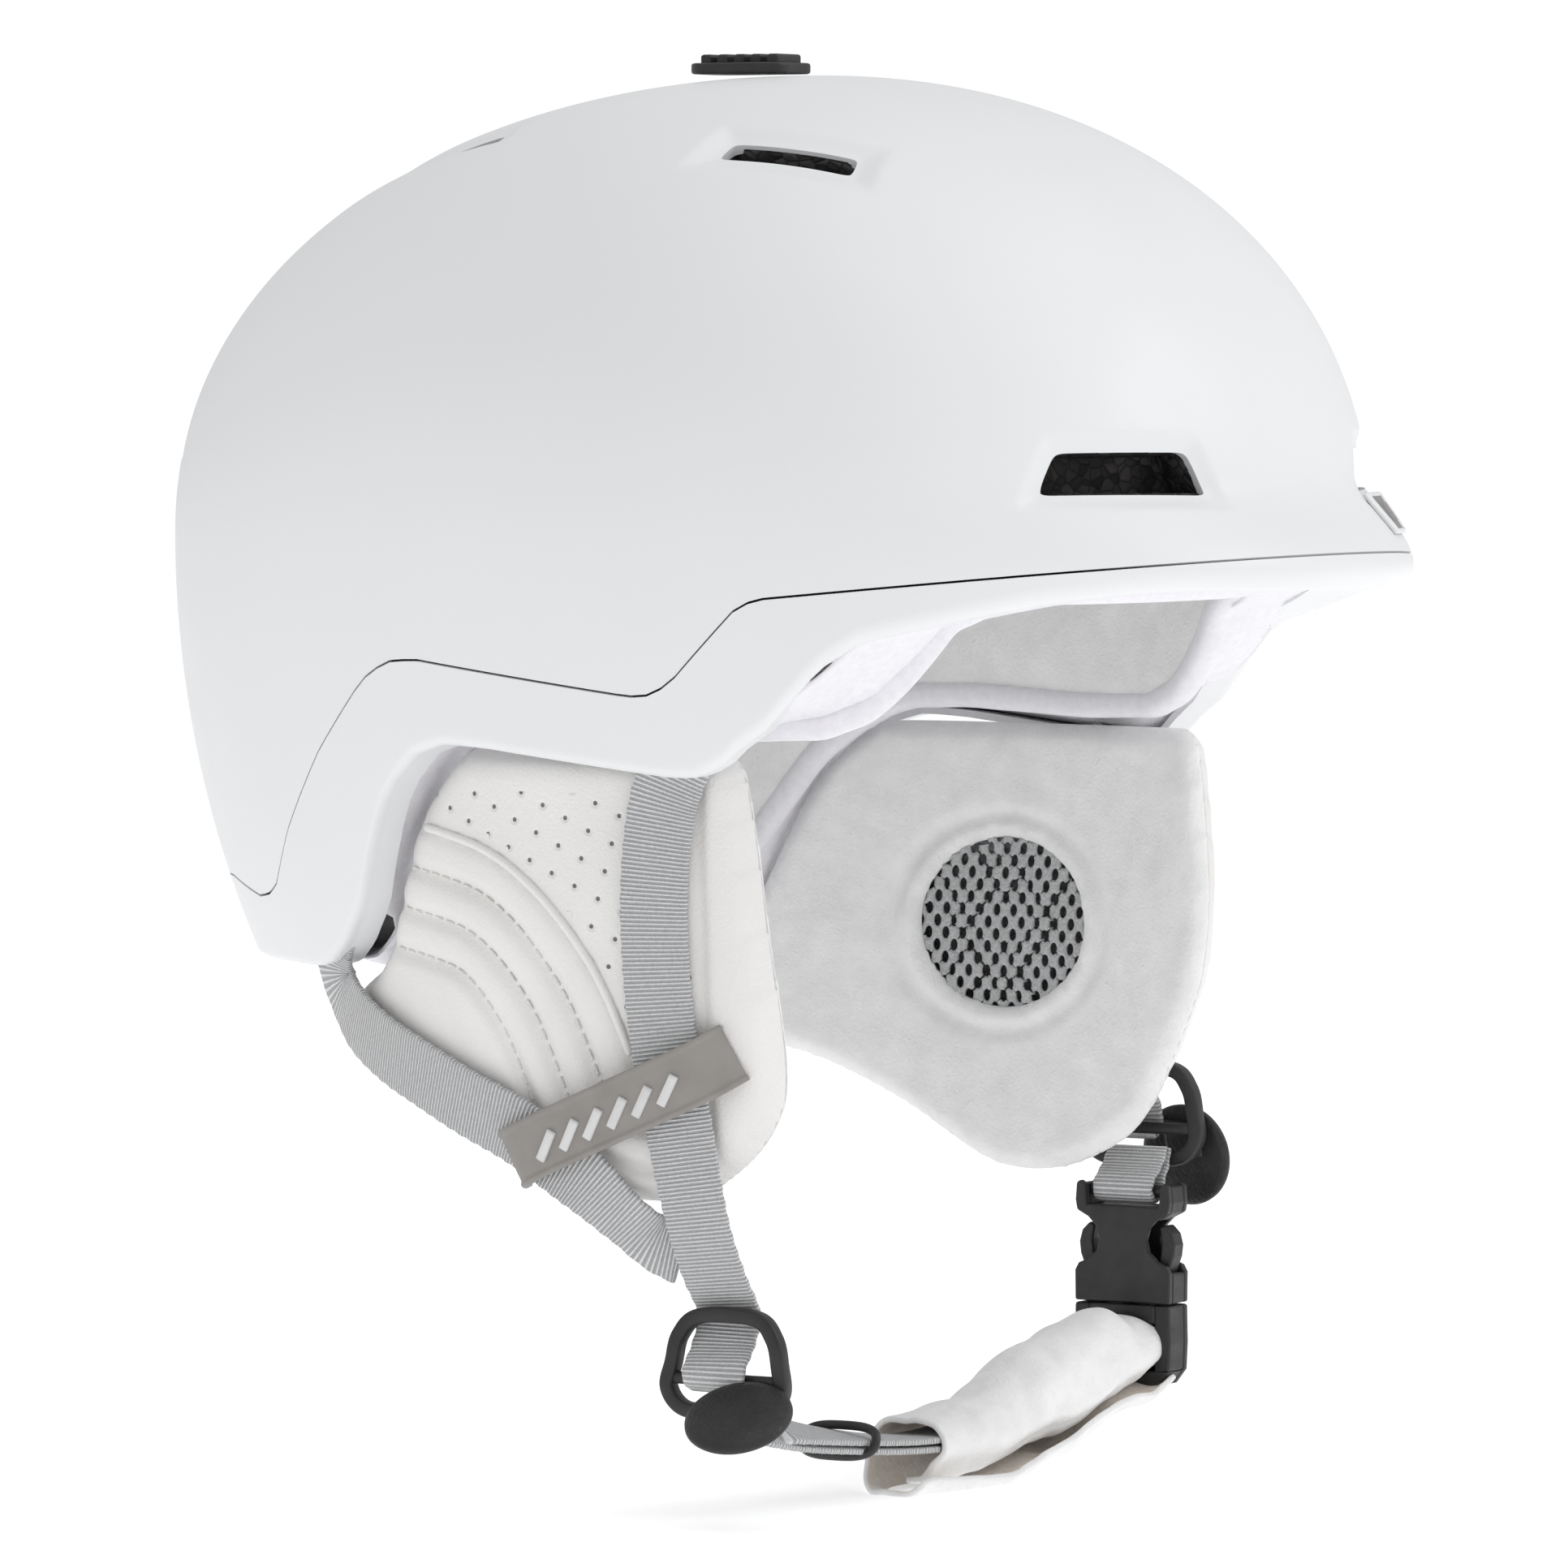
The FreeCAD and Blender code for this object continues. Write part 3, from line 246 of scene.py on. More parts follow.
def shell_normal(turn, height, inset=0.0, flared=True):
    step = 0.0005
    along = shell_point(turn + 0.004, height, inset, flared) - shell_point(turn - 0.004, height, inset,
        flared)
    up = shell_point(turn, min(height + step, RISE - inset - 1e-5), inset, flared)
    up -= shell_point(turn, height - step, inset, flared)
    normal = up.cross(along)
    if normal.length < 1e-12:
        return Vector((0, 0, 1))
    normal.normalize()
    return normal if normal.dot(shell_point(turn, height, inset, flared)
                                - Vector((0, 0.01, -0.06))) > 0 else -normal


def turn_of(point, inset=0.0):
    """Turn of a point on, or near, the shell surface."""
    if point.z >= 0:
        scale = max(1 - (point.z / (RISE - inset)) ** CROWN_POWER, 1e-9) ** (1 / CROWN_POWER)
    else:
        scale = math.sqrt(1 - (point.z / DROP) ** 2)
    turn = math.pi
    flare = 0.0
    for _ in range(3):
        y_plain = point.y + flare
        reach = (FRONT if y_plain < 0 else BACK) - inset
        turn = math.atan2(signed_power(point.x / (HALF_WIDTH - inset) / scale, PLAN_POWER / 2),
                          -signed_power(y_plain / reach / scale, PLAN_POWER / 2))
        if y_plain < 0:
            share = min(max((BRIM_TOP - point.z) / (BRIM_TOP - BRIM_TIP), 0.0), 1.0)
            flare = ease(share) * BRIM_REACH * abs(math.cos(turn)) ** 3
    return turn % (2 * math.pi)


def edge_height(outline, turn, inset=0.0, shift=0.0):
    """Height where a column of the shell crosses a side-view line."""
    low, high = -0.118, 0.09
    for _ in range(36):
        middle = (low + high) / 2
        if middle < line_height(outline, shell_point(turn, middle, inset).y) + shift:
            low = middle
        else:
            high = middle
    return (low + high) / 2


def rise_angle(height, inset=0.0):
    share = height / (RISE - inset)
    return math.asin(share) if share > 0 else share


def height_at(angle, inset=0.0):
    return (RISE - inset) * (math.sin(min(angle, math.pi / 2)) if angle > 0 else angle)


# Air slots: centre, direction along, outward normal, long edge, short edge, height, dish width.
SLOTS = []
for centre, along, normal, long_edge, short_edge, tall, dish in (
        (mm(-52, -105, 15), (0.885, -0.466, 0), (-0.466, -0.885, 0.1), 0.042, 0.033, 0.0086, 0.0045),
        (mm(-60, -29, 81), (0.13, -0.98, -0.13), (-0.5, -0.1, 0.86), 0.031, 0.029, 0.0065, 0.007),
        (mm(-38, 72, 83), (0.2, 0.93, -0.275), (-0.295, 0.328, 0.896), 0.036, 0.032, 0.006, 0.006),
        (mm(-36, 132, 24), (0.96, 0.28, 0), (-0.27, 0.93, 0.25), 0.034, 0.028, 0.0075, 0.005)):
    for hand in (1, -1):
        middle = Vector((centre.x * hand, centre.y, centre.z))
        run = Vector((along[0] * hand, along[1], along[2])).normalized()
        out = Vector((normal[0] * hand, normal[1], normal[2]))
        out = (out - run * out.dot(run)).normalized()
        rise = run.cross(out)
        rise = -rise if rise.z < 0 else rise
        SLOTS.append((middle, run, out, rise, long_edge, short_edge, tall, dish))


def slot_distance(air_slot, point):
    """Distance outside a slot's rounded edge, with the direction away from it."""
    middle, run, _, rise, long_edge, short_edge, tall, _ = air_slot
    across = (point - middle).dot(run)
    up = (point - middle).dot(rise)
    lean = (long_edge - short_edge) / 2 / tall
    length = math.hypot(1, lean)
    half = (long_edge + short_edge) / 4 - lean * up
    sides = [(-up - tall / 2, -rise), (up - tall / 2, rise),
             ((across - half) / length, (run + rise * lean) / length),
             ((-across - half) / length, (rise * lean - run) / length)]
    softness = 0.0007
    top = max(distance for distance, _ in sides)
    weights = [math.exp((distance - top) / softness) for distance, _ in sides]
    away = sum((direction * weight for weight, (_, direction) in zip(weights, sides)),
               Vector()) / sum(weights)
    return top + softness * math.log(sum(weights)), away


shell_white, nodes, links, shader = new_material("matt icy shell", (0.79, 0.80, 0.812), 0.42)
shader.inputs["Specular IOR Level"].default_value = 0.45
shader.inputs["Coat Weight"].default_value = 0.08
shader.inputs["Coat Roughness"].default_value = 0.35
links.new(ramp(nodes, links, noise_on(nodes, links, 9, 2),
               [(0.3, (0.775, 0.787, 0.80)), (0.7, (0.80, 0.81, 0.822))]),
          shader.inputs["Base Color"])
links.new(ramp(nodes, links, noise_on(nodes, links, 60, 4), [(0.3, (0.38,) * 3), (0.7, (0.48,) * 3)]),
          shader.inputs["Roughness"])
add_bump(nodes, links, shader, noise_on(nodes, links, 2600, 2), 0.00002, 0.5)

bm = bmesh.new()
bmesh.ops.create_grid(bm, x_segments=COLUMNS, y_segments=84, size=0.5)
turn_layer = bm.verts.layers.float.new("turn")
height_layer = bm.verts.layers.float.new("height")
seam_angles = {}
for vert in bm.verts:
    turn = 2 * math.pi * (vert.co.x + 0.5)
    column = round(turn, 5)
    if column not in seam_angles:
        seam_angles[column] = rise_angle(edge_height(SEAM, turn))
    start = seam_angles[column]
    vert[turn_layer] = turn
    vert[height_layer] = height_at(start + (math.pi / 2 - start) * (vert.co.y + 0.5))
    vert.co = shell_point(turn, vert[height_layer])
for air_slot in SLOTS:
    middle, run, out, rise, long_edge, _, tall, dish = air_slot
    near = {vert for vert in bm.verts if abs((vert.co - middle).dot(run)) < long_edge / 2 + dish + 0.003
            and abs((vert.co - middle).dot(rise)) < tall / 2 + dish + 0.003
            and (vert.co - middle).dot(out) > -0.03}
    edges = [edge for edge in bm.edges if edge.verts[0] in near and edge.verts[1] in near]
    bmesh.ops.subdivide_edges(bm, edges=edges, cuts=2, use_grid_fill=True)
    near = [vert for vert in bm.verts if abs((vert.co - middle).dot(run)) < long_edge / 2 + 0.012
            and abs((vert.co - middle).dot(rise)) < tall / 2 + 0.012 and (vert.co - middle).dot(out) > -0.03]
    for vert in near:
        vert.co = shell_point(vert[turn_layer], vert[height_layer])
    inside = {vert for vert in near if slot_distance(air_slot, vert.co)[0] < 0}
    gone = {face for vert in inside for face in vert.link_faces}
    border = {vert for face in gone for vert in face.verts} - inside
    bmesh.ops.delete(bm, geom=list(inside), context="VERTS")
    for vert in border:
        if vert.is_valid:
            for _ in range(5):
                distance, away = slot_distance(air_slot, vert.co)
                moved = vert.co - away * distance
                vert[turn_layer], vert[height_layer] = turn_of(moved), moved.z
                vert.co = shell_point(vert[turn_layer], moved.z)
bmesh.ops.remove_doubles(bm, verts=bm.verts, dist=0.00002)
shifts = {}
for air_slot in SLOTS:
    middle, run, out, rise, long_edge, _, tall, dish = air_slot
    for vert in bm.verts:
        if (vert.co - middle).length < long_edge / 2 + dish + 0.01 and (vert.co - middle).dot(out) > -0.03:
            distance, _ = slot_distance(air_slot, vert.co)
            sink = 0.0016 * (1 - ease(distance / dish))
            if sink > 0:
                normal = shell_normal(vert[turn_layer], vert[height_layer])
                shifts[vert] = shifts.get(vert, Vector()) - normal * sink
for vert, shift in shifts.items():
    vert.co += shift
bmesh.ops.recalc_face_normals(bm, faces=bm.faces)
outer_shell = keep_piece("upper_shell", bm, [shell_white], "shell")
add_wall(outer_shell, 0.0022)
add_edge_round(outer_shell, 0.0006)
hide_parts("outer_shell")

# Lower shell: the same plastic, from the seam down to the rim and brim, where it rolls under
# and closes off the foam. A 0.5 mm shadow gap parts it from the upper shell.
RIM = [(-400, -8.8), (-119.5, -9.3), (-98, -12.6), (-81, -16.7), (-66, -20.5), (-58, -26), (-46, -39.5),
       (-42, -41.5),
       (-37, -46), (-32, -48.6), (-26, -48.8), (19, -43.5), (30, -42.8), (38, -45), (47, -53), (52, -62),
       (60, -79),
       (68, -87.5), (75, -92), (80, -93), (400, -93)]
ROLL_ROWS, FLANGE_ROWS, BAND_ROWS = 8, 7, 22
bm = bmesh.new()
bmesh.ops.create_grid(bm, x_segments=COLUMNS, y_segments=BAND_ROWS + ROLL_ROWS + FLANGE_ROWS, size=0.5)
edges_at = {}
for vert in bm.verts:
    turn = 2 * math.pi * (vert.co.x + 0.5)
    row = (vert.co.y + 0.5) * (BAND_ROWS + ROLL_ROWS + FLANGE_ROWS)
    column = round(turn, 5)
    if column not in edges_at:
        y_place = shell_point(turn, -0.045).y
        front_share = ease((-y_place - 0.025) / 0.035)
        roll = 0.0026 + 0.0016 * front_share
        edges_at[column] = (edge_height(SEAM, turn, shift=-0.0005), edge_height(RIM, turn, shift=roll), roll,
                            front_share)
    top, bottom, roll, front_share = edges_at[column]
    if row <= BAND_ROWS + 1e-6:
        vert.co = shell_point(turn, top + (bottom - top) * row / BAND_ROWS)
        continue
    base = shell_point(turn, bottom)
    out = shell_normal(turn, bottom)
    side = shell_point(turn + 0.004, bottom) - shell_point(turn - 0.004, bottom)
    down = out.cross(side).normalized()
    down = -down if down.z > 0 else down
    bend = min((row - BAND_ROWS) / ROLL_ROWS, 1.0) * math.pi * 0.53
    vert.co = base - out * roll * (1 - math.cos(bend)) + down * roll * math.sin(bend)
    if row > BAND_ROWS + ROLL_ROWS:
        share = (row - BAND_ROWS - ROLL_ROWS) / FLANGE_ROWS
        inward = Vector((out.x, out.y, 0)).normalized()
        reach = 0.006 + 0.0135 * abs(math.cos(turn)) ** 3 * front_share
        vert.co -= inward * reach * share
bmesh.ops.remove_doubles(bm, verts=bm.verts, dist=0.00002)
bmesh.ops.recalc_face_normals(bm, faces=bm.faces)
lower_shell = keep_piece("lower_shell_rim", bm, [shell_white], "shell")
if lower_shell.data.polygons[COLUMNS // 2].normal.dot(lower_shell.data.polygons[COLUMNS // 2].center) < 0:
    lower_shell.data.flip_normals()
add_wall(lower_shell, 0.0016)
add_edge_round(lower_shell, 0.0006)
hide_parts("lower_shell")

# Foam liner: fused charcoal beads, about 3 mm across, seen at the bottom of every air slot.
bead_foam, nodes, links, shader = new_material("charcoal bead foam", (0.03, 0.03, 0.032), 0.75)
place = nodes.new("ShaderNodeTexCoord")
beads = nodes.new("ShaderNodeTexVoronoi")
beads.inputs["Scale"].default_value = 380
links.new(place.outputs["Object"], beads.inputs["Vector"])
walls = nodes.new("ShaderNodeTexVoronoi")
walls.feature = "DISTANCE_TO_EDGE"
walls.inputs["Scale"].default_value = 380
links.new(place.outputs["Object"], walls.inputs["Vector"])
# The bead seams are darkened where the bump sinks them: painted shade in the creases between beads, over the
# beads' own random tone.
bead_tone_and_crease_shade = nodes.new("ShaderNodeMix")
bead_tone_and_crease_shade.data_type = "RGBA"
bead_tone_and_crease_shade.blend_type = "MULTIPLY"
bead_tone_and_crease_shade.inputs["Factor"].default_value = 1.0
links.new(ramp(nodes, links, beads.outputs["Color"], [(0.2, (0.018,) * 3), (0.9, (0.085, 0.08, 0.078))]),
          bead_tone_and_crease_shade.inputs["A"])
links.new(ramp(nodes, links, walls.outputs["Distance"], [(0.0, (0.3,) * 3), (0.12, (1,) * 3)]),
          bead_tone_and_crease_shade.inputs["B"])
links.new(bead_tone_and_crease_shade.outputs["Result"], shader.inputs["Base Color"])
add_bump(nodes, links, shader, walls.outputs["Distance"], 0.0012, 0.8)
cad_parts["foam_liner"].data.materials.clear()
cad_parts["foam_liner"].data.materials.append(bead_foam)

# Vent slider: a black moulded knob with five grip blocks that moves the shutter plate under the
# shell's crown. Its stem and slot stay hidden below the knob.
black_plastic, nodes, links, shader = new_material("black moulded plastic", (0.022, 0.022, 0.024), 0.42)
shader.inputs["Specular IOR Level"].default_value = 0.4
links.new(ramp(nodes, links, noise_on(nodes, links, 240, 4), [(0.3, (0.36,) * 3), (0.7, (0.52,) * 3)]),
          shader.inputs["Roughness"])
links.new(ramp(nodes, links, noise_on(nodes, links, 80, 3),
               [(0.35, (0.017,) * 3), (0.7, (0.03, 0.03, 0.032))]),
          shader.inputs["Base Color"])
add_bump(nodes, links, shader, noise_on(nodes, links, 2400, 2), 0.00008, 0.7)


def add_block(bm, low, high, turn=None):
    """Rectangular block between two corners."""
    made = bmesh.ops.create_cube(bm, size=1)["verts"]
    middle = (low + high) / 2
    bmesh.ops.scale(bm, verts=made, vec=high - low)
    if turn:
        bmesh.ops.rotate(bm, verts=made, cent=(0, 0, 0), matrix=turn)
    bmesh.ops.translate(bm, verts=made, vec=middle)
    return made


def round_edges(bm, width, segments=2, verts=None):
    """Round every edge, or the edges between the given vertices."""
    chosen = set(verts) if verts else set(bm.verts)
    edges = [edge for edge in bm.edges if edge.verts[0] in chosen and edge.verts[1] in chosen]
    bmesh.ops.bevel(bm, geom=edges, offset=width, segments=segments, profile=0.5, affect="EDGES", material=-1,
                    clamp_overlap=True)


knob_low, knob_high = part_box("slider_knob")
KNOB_SHORTER = Vector((0.0018, 0.0040, 0))
knob_low, knob_high = knob_low + KNOB_SHORTER, knob_high - KNOB_SHORTER
bm = bmesh.new()
plate_top = knob_high.z - 0.0019
add_block(bm, Vector((knob_low.x, knob_low.y, 0.1)), Vector((knob_high.x, knob_high.y, plate_top)))
uprights = [edge for edge in bm.edges if abs((edge.verts[0].co - edge.verts[1].co).z) > 0.001]
bmesh.ops.bevel(bm, geom=uprights, offset=0.004, segments=5, profile=0.5, affect="EDGES", material=-1)
round_edges(bm, 0.0006)
for number in range(5):
    middle_y = knob_low.y + 0.0036 + number * (knob_high.y - knob_low.y - 0.0072) / 4
    rib = add_block(bm, Vector((knob_low.x + 0.003, middle_y - 0.0014, plate_top - 0.0004)),
                    Vector((knob_high.x - 0.003, middle_y + 0.0014, knob_high.z)))
    round_edges(bm, 0.0006, 2, rib)
knob = keep_piece("vent_knob", bm, [black_plastic], "vent_slider", smooth=False)
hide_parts("slider_knob")

# Badge: a small plain plate beside the middle of the brow, curved to the flare of the brim, with
# a framed dark field and a plain slanted bar.
badge_field, nodes, links, shader = new_material("badge field", (0.2, 0.19, 0.19), 0.35)
links.new(ramp(nodes, links, noise_on(nodes, links, 900), [(0.3, (0.15,) * 3), (0.7, (0.22, 0.2, 0.2))]),
          shader.inputs["Base Color"])
badge_low, badge_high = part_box("badge")
badge_middle = (badge_low + badge_high) / 2
badge_turn = turn_of(badge_middle)
badge_middle = shell_point(badge_turn, badge_middle.z)
badge_side = (shell_point(badge_turn - 0.01, badge_middle.z)
              - shell_point(badge_turn + 0.01, badge_middle.z)).normalized()
badge_up = shell_normal(badge_turn, badge_middle.z).cross(badge_side).normalized()
badge_up = -badge_up if badge_up.z < 0 else badge_up
FIELD_SHARE = 0.8
shares = [-1, -0.96, -0.9, -FIELD_SHARE - 0.02, -FIELD_SHARE] + [step / 10 for step in range(-7, 8)]
shares += [FIELD_SHARE, FIELD_SHARE + 0.02, 0.9, 0.96, 1]
bm = bmesh.new()
rows = []
for share_up in shares:
    row = []
    for share_side in shares:
        half_long = 0.0117 - 0.0012 * share_up
        flat = badge_middle + badge_side * share_side * half_long + badge_up * share_up * 0.0056
        turn = turn_of(flat)
        within = max(abs(share_up), abs(share_side))
        out = 0.0012 - 0.0005 * ease((within - 0.88) / 0.12) - (0.0004 if within <= FIELD_SHARE + 1e-6 else 0)
        out += 0.00025 * (abs(share_side + share_up * 0.4) < 0.45 and abs(share_up) < 0.41)
        row.append(bm.verts.new(shell_point(turn, flat.z) + shell_normal(turn, flat.z) * out))
    rows.append(row)
for above, below in zip(rows, rows[1:]):
    for first, second, third, fourth in zip(above, above[1:], below[1:], below):
        face = bm.faces.new((first, second, third, fourth))
        face.material_index = 0
for number, face in enumerate(bm.faces):
    row, column = divmod(number, len(shares) - 1)
    if 4 <= row < len(shares) - 5 and 4 <= column < len(shares) - 5:
        face.material_index = 1
bmesh.ops.recalc_face_normals(bm, faces=bm.faces)
if sum(face.normal.y for face in bm.faces) > 0:
    bmesh.ops.reverse_faces(bm, faces=bm.faces)
badge = keep_piece("brow_badge", bm, [shell_white, badge_field], "shell")
add_wall(badge, 0.0007)
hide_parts("badge")

# Comfort liner: short-pile fleece over thin foam, sewn in panels, with a smooth knitted ribbon
# bound round its lower edge. It hangs inside the foam on hook and loop.
fleece, nodes, links, shader = new_material("white fleece", (0.86, 0.86, 0.86), 0.95)
shader.inputs["Sheen Weight"].default_value = 0.35
shader.inputs["Sheen Roughness"].default_value = 0.6
shader.inputs["Specular IOR Level"].default_value = 0.15
links.new(ramp(nodes, links, noise_on(nodes, links, 130, 6),
               [(0.3, (0.81, 0.81, 0.812)), (0.7, (0.89, 0.89, 0.89))]),
          shader.inputs["Base Color"])
add_bump(nodes, links, shader, noise_on(nodes, links, 260, 5), 0.0011, 0.4)
add_bump(nodes, links, shader, noise_on(nodes, links, 1500, 3), 0.0004, 0.6)

ribbon, nodes, links, shader = new_material("knitted binding", (0.84, 0.83, 0.87), 0.8)
shader.inputs["Sheen Weight"].default_value = 0.3
shader.inputs["Specular IOR Level"].default_value = 0.2
links.new(ramp(nodes, links, noise_on(nodes, links, 500, 4),
               [(0.3, (0.80, 0.79, 0.83)), (0.7, (0.86, 0.85, 0.885))]),
          shader.inputs["Base Color"])
add_bump(nodes, links, shader, noise_on(nodes, links, 2200, 3), 0.0002, 0.6)

FLEECE_EDGE = [(-400, -9), (-92, -11), (-80, -13), (-72, -17), (-64, -27), (-56, -35), (-46, -39),
               (-24, -39.8),
               (10, -38), (22, -38.6), (30, -41), (38, -46), (46, -54), (54, -67), (61, -79), (68, -89),
               (76, -91), (400, -91)]
LINER_INSET = 0.0272
bm = bmesh.new()
bmesh.ops.create_grid(bm, x_segments=220, y_segments=70, size=0.5)
liner_edges = {}
for vert in bm.verts:
    turn = 2 * math.pi * (vert.co.x + 0.5)
    column = round(turn, 5)
    if column not in liner_edges:
        edge_z = edge_height(FLEECE_EDGE, turn, LINER_INSET)
        liner_edges[column] = (edge_z, rise_angle(edge_z, LINER_INSET))
    edge_z, start = liner_edges[column]
    height = height_at(start + (math.pi / 2 - start) * (vert.co.y + 0.5), LINER_INSET)
    point = shell_point(turn, height, LINER_INSET, flared=False)
    normal = shell_normal(turn, height, LINER_INSET, flared=False)
    seam = min(abs(height - 0.022), abs(abs(point.x) - 0.0465) if height < 0.022 else 1.0,
               height - edge_z + 0.002)
    puff = 0.0026 * (1 - math.exp(-seam / 0.005))
    pile = noise.noise(point * 70) * 0.0006 + noise.noise(point * 190) * 0.00035
    vert.co = point - normal * (puff + pile + 0.0004)
bmesh.ops.remove_doubles(bm, verts=bm.verts, dist=0.00002)
bmesh.ops.recalc_face_normals(bm, faces=bm.faces)
liner = keep_piece("comfort_liner", bm, [fleece], "shell")
liner.data.flip_normals()
add_wall(liner, 0.003)
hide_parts("crown_pad", "brow_pad", "nape_pad", "side_pad_left", "side_pad_right")


def smooth_line(points, steps, closed=False):
    """Catmull-Rom curve through points of any length."""
    count = len(points)
    line = []
    for number in range(count if closed else count - 1):
        if closed:
            four = [points[(number + shift) % count] for shift in (-1, 0, 1, 2)]
        else:
            four = [points[min(max(number + shift, 0), count - 1)] for shift in (-1, 0, 1, 2)]
        for step in range(steps):
            share = step / steps
            weights = (-share ** 3 + 2 * share ** 2 - share, 3 * share ** 3 - 5 * share ** 2 + 2,
                       -3 * share ** 3 + 4 * share ** 2 + share, share ** 3 - share ** 2)
            line.append(tuple(sum(weight * point[axis] for weight, point in zip(weights, four)) / 2
                              for axis in range(len(points[0]))))
    if not closed:
        line.append(tuple(points[-1]))
    return [Vector(point) for point in line]


def even_line(points, count, closed=False):
    """The same curve with evenly spaced points, and its length."""
    places = [0.0]
    ring = points + [points[0]] if closed else points
    for before, after in zip(ring, ring[1:]):
        places.append(places[-1] + (after - before).length)
    total = places[-1]
    made, index = [], 0
    for number in range(count + (0 if closed else 1)):
        goal = total * number / count
        while index < len(places) - 2 and places[index + 1] < goal:
            index += 1
        share = (goal - places[index]) / max(places[index + 1] - places[index], 1e-12)
        made.append(ring[index].lerp(ring[index + 1], min(share, 1.0)))
    return made, total


def add_sweep(bm, stations, section, around, along, closed=False):
    """Sweep of a section along (point, outward normal) stations.

    section(share round, share along, length along) gives the offsets across and outward.
    """
    joined = [tuple(point) + tuple(Vector(normal).normalized()) for point, normal in stations]
    dense = smooth_line(joined, 24, closed)
    places = [Vector(item[:3]) for item in dense]
    line, total = even_line(places, along, closed)
    normals, index = [], 0
    for point in line:
        nearest = min(range(max(index - 3, 0), min(index + 40, len(places))),
                      key=lambda k: (places[k] - point).length)
        index = nearest
        normals.append(Vector(dense[nearest][3:]))
    for _ in range(3):
        count = len(normals)
        normals = [(normals[k - 1 if k or closed else 0] + normals[k] * 2
                    + normals[(k + 1) % count if closed else
                    min(k + 1, count - 1)]).normalized() for k in range(count)]
    uv_layer = bm.loops.layers.uv.get("UVMap") or bm.loops.layers.uv.new("UVMap")
    made = bmesh.ops.create_grid(bm, x_segments=around, y_segments=along, size=0.5)["verts"]
    place_uv = {}
    count = len(line)
    for vert in made:
        share_round, share_along = vert.co.x + 0.5, vert.co.y + 0.5
        k = int(round(share_along * along))
        index = k % count if closed else min(k, count - 1)
        before = line[index - 1] if index or closed else line[0]
        after = line[(index + 1) % count] if closed else line[min(index + 1, count - 1)]
        ahead = (after - before).normalized()
        across = ahead.cross(normals[index]).normalized()
        out = across.cross(ahead).normalized()
        wide, lift = section(share_round % 1.0, share_along, share_along * total)
        vert.co = line[index] + across * wide + out * lift
        place_uv[vert] = (wide, share_along * total)
    faces = {face for vert in made for face in vert.link_faces}
    for face in faces:
        for loop in face.loops:
            loop[uv_layer].uv = place_uv[loop.vert]
    bmesh.ops.remove_doubles(bm, verts=made, dist=0.000005)
    kept = [vert for vert in made if vert.is_valid]
    if not closed:
        ends = [edge for vert in kept for edge in vert.link_edges if edge.is_boundary]
        bmesh.ops.holes_fill(bm, edges=list(set(ends)), sides=0)
    bmesh.ops.recalc_face_normals(bm, faces=list({face for vert in kept for face in vert.link_faces}))
    return total


def oval_section(wide, thick, power=1.0):
    """Closed section; a power under one makes it squarer."""
    def section(share_round, share_along, length):
        angle = share_round * 2 * math.pi
        return (signed_power(math.cos(angle), power) * wide / 2,
                signed_power(math.sin(angle), power) * thick / 2)
    return section


bm = bmesh.new()
binding_stations = []
for number in range(120):
    turn = 2 * math.pi * number / 120
    edge_z = edge_height(FLEECE_EDGE, turn, LINER_INSET)
    normal = shell_normal(turn, edge_z, LINER_INSET, flared=False)
    binding_stations.append((shell_point(turn, edge_z + 0.0008, LINER_INSET, flared=False) - normal * 0.0002,
                             normal))
add_sweep(bm, binding_stations, oval_section(0.0058, 0.0062, 0.75), 14, 480, closed=True)
keep_piece("liner_binding", bm, [ribbon], "shell")

# A white fabric skirt closes the gap between the liner's edge and the rolled rim, under the foam.
FOAM_EDGE = [(-400, -6.5), (-100, -9), (-84, -12), (-66, -17), (-57, -26), (-47, -34), (20, -34), (46, -37),
             (60, -52),
             (72, -66), (79, -80), (86, -90), (400, -90)]
SKIRT_INSET, STRAP_ROOM = 0.0032, 0.0115
skirt_ends = {}
bm = bmesh.new()
bmesh.ops.create_grid(bm, x_segments=COLUMNS, y_segments=12, size=0.5)
for vert in bm.verts:
    turn = 2 * math.pi * (vert.co.x + 0.5)
    column = round(turn, 5)
    if column not in skirt_ends:
        outer_z = edge_height(RIM, turn) + 0.0021
        y_rim = shell_point(turn, outer_z).y
        strap_share = ease((y_rim - 0.060) / 0.006) * (1 - ease((y_rim - 0.092) / 0.010))
        skirt_out = SKIRT_INSET + STRAP_ROOM * strap_share
        inner_z = edge_height(FLEECE_EDGE, turn, LINER_INSET) + 0.0015
        skirt_ends[column] = (shell_point(turn, outer_z, skirt_out, flared=False),
                              shell_point(turn, inner_z, LINER_INSET, flared=False))
    outer, inner = skirt_ends[column]
    point = outer.lerp(inner, vert.co.y + 0.5)
    point.z = min(point.z, line_height(FOAM_EDGE, point.y) - 0.0008)
    vert.co = point
bmesh.ops.remove_doubles(bm, verts=bm.verts, dist=0.00002)
bmesh.ops.recalc_face_normals(bm, faces=bm.faces)
if sum(face.normal.z for face in bm.faces) > 0:
    bmesh.ops.reverse_faces(bm, faces=bm.faces)
skirt = keep_piece("liner_skirt", bm, [ribbon], "shell")
add_wall(skirt, 0.0006)

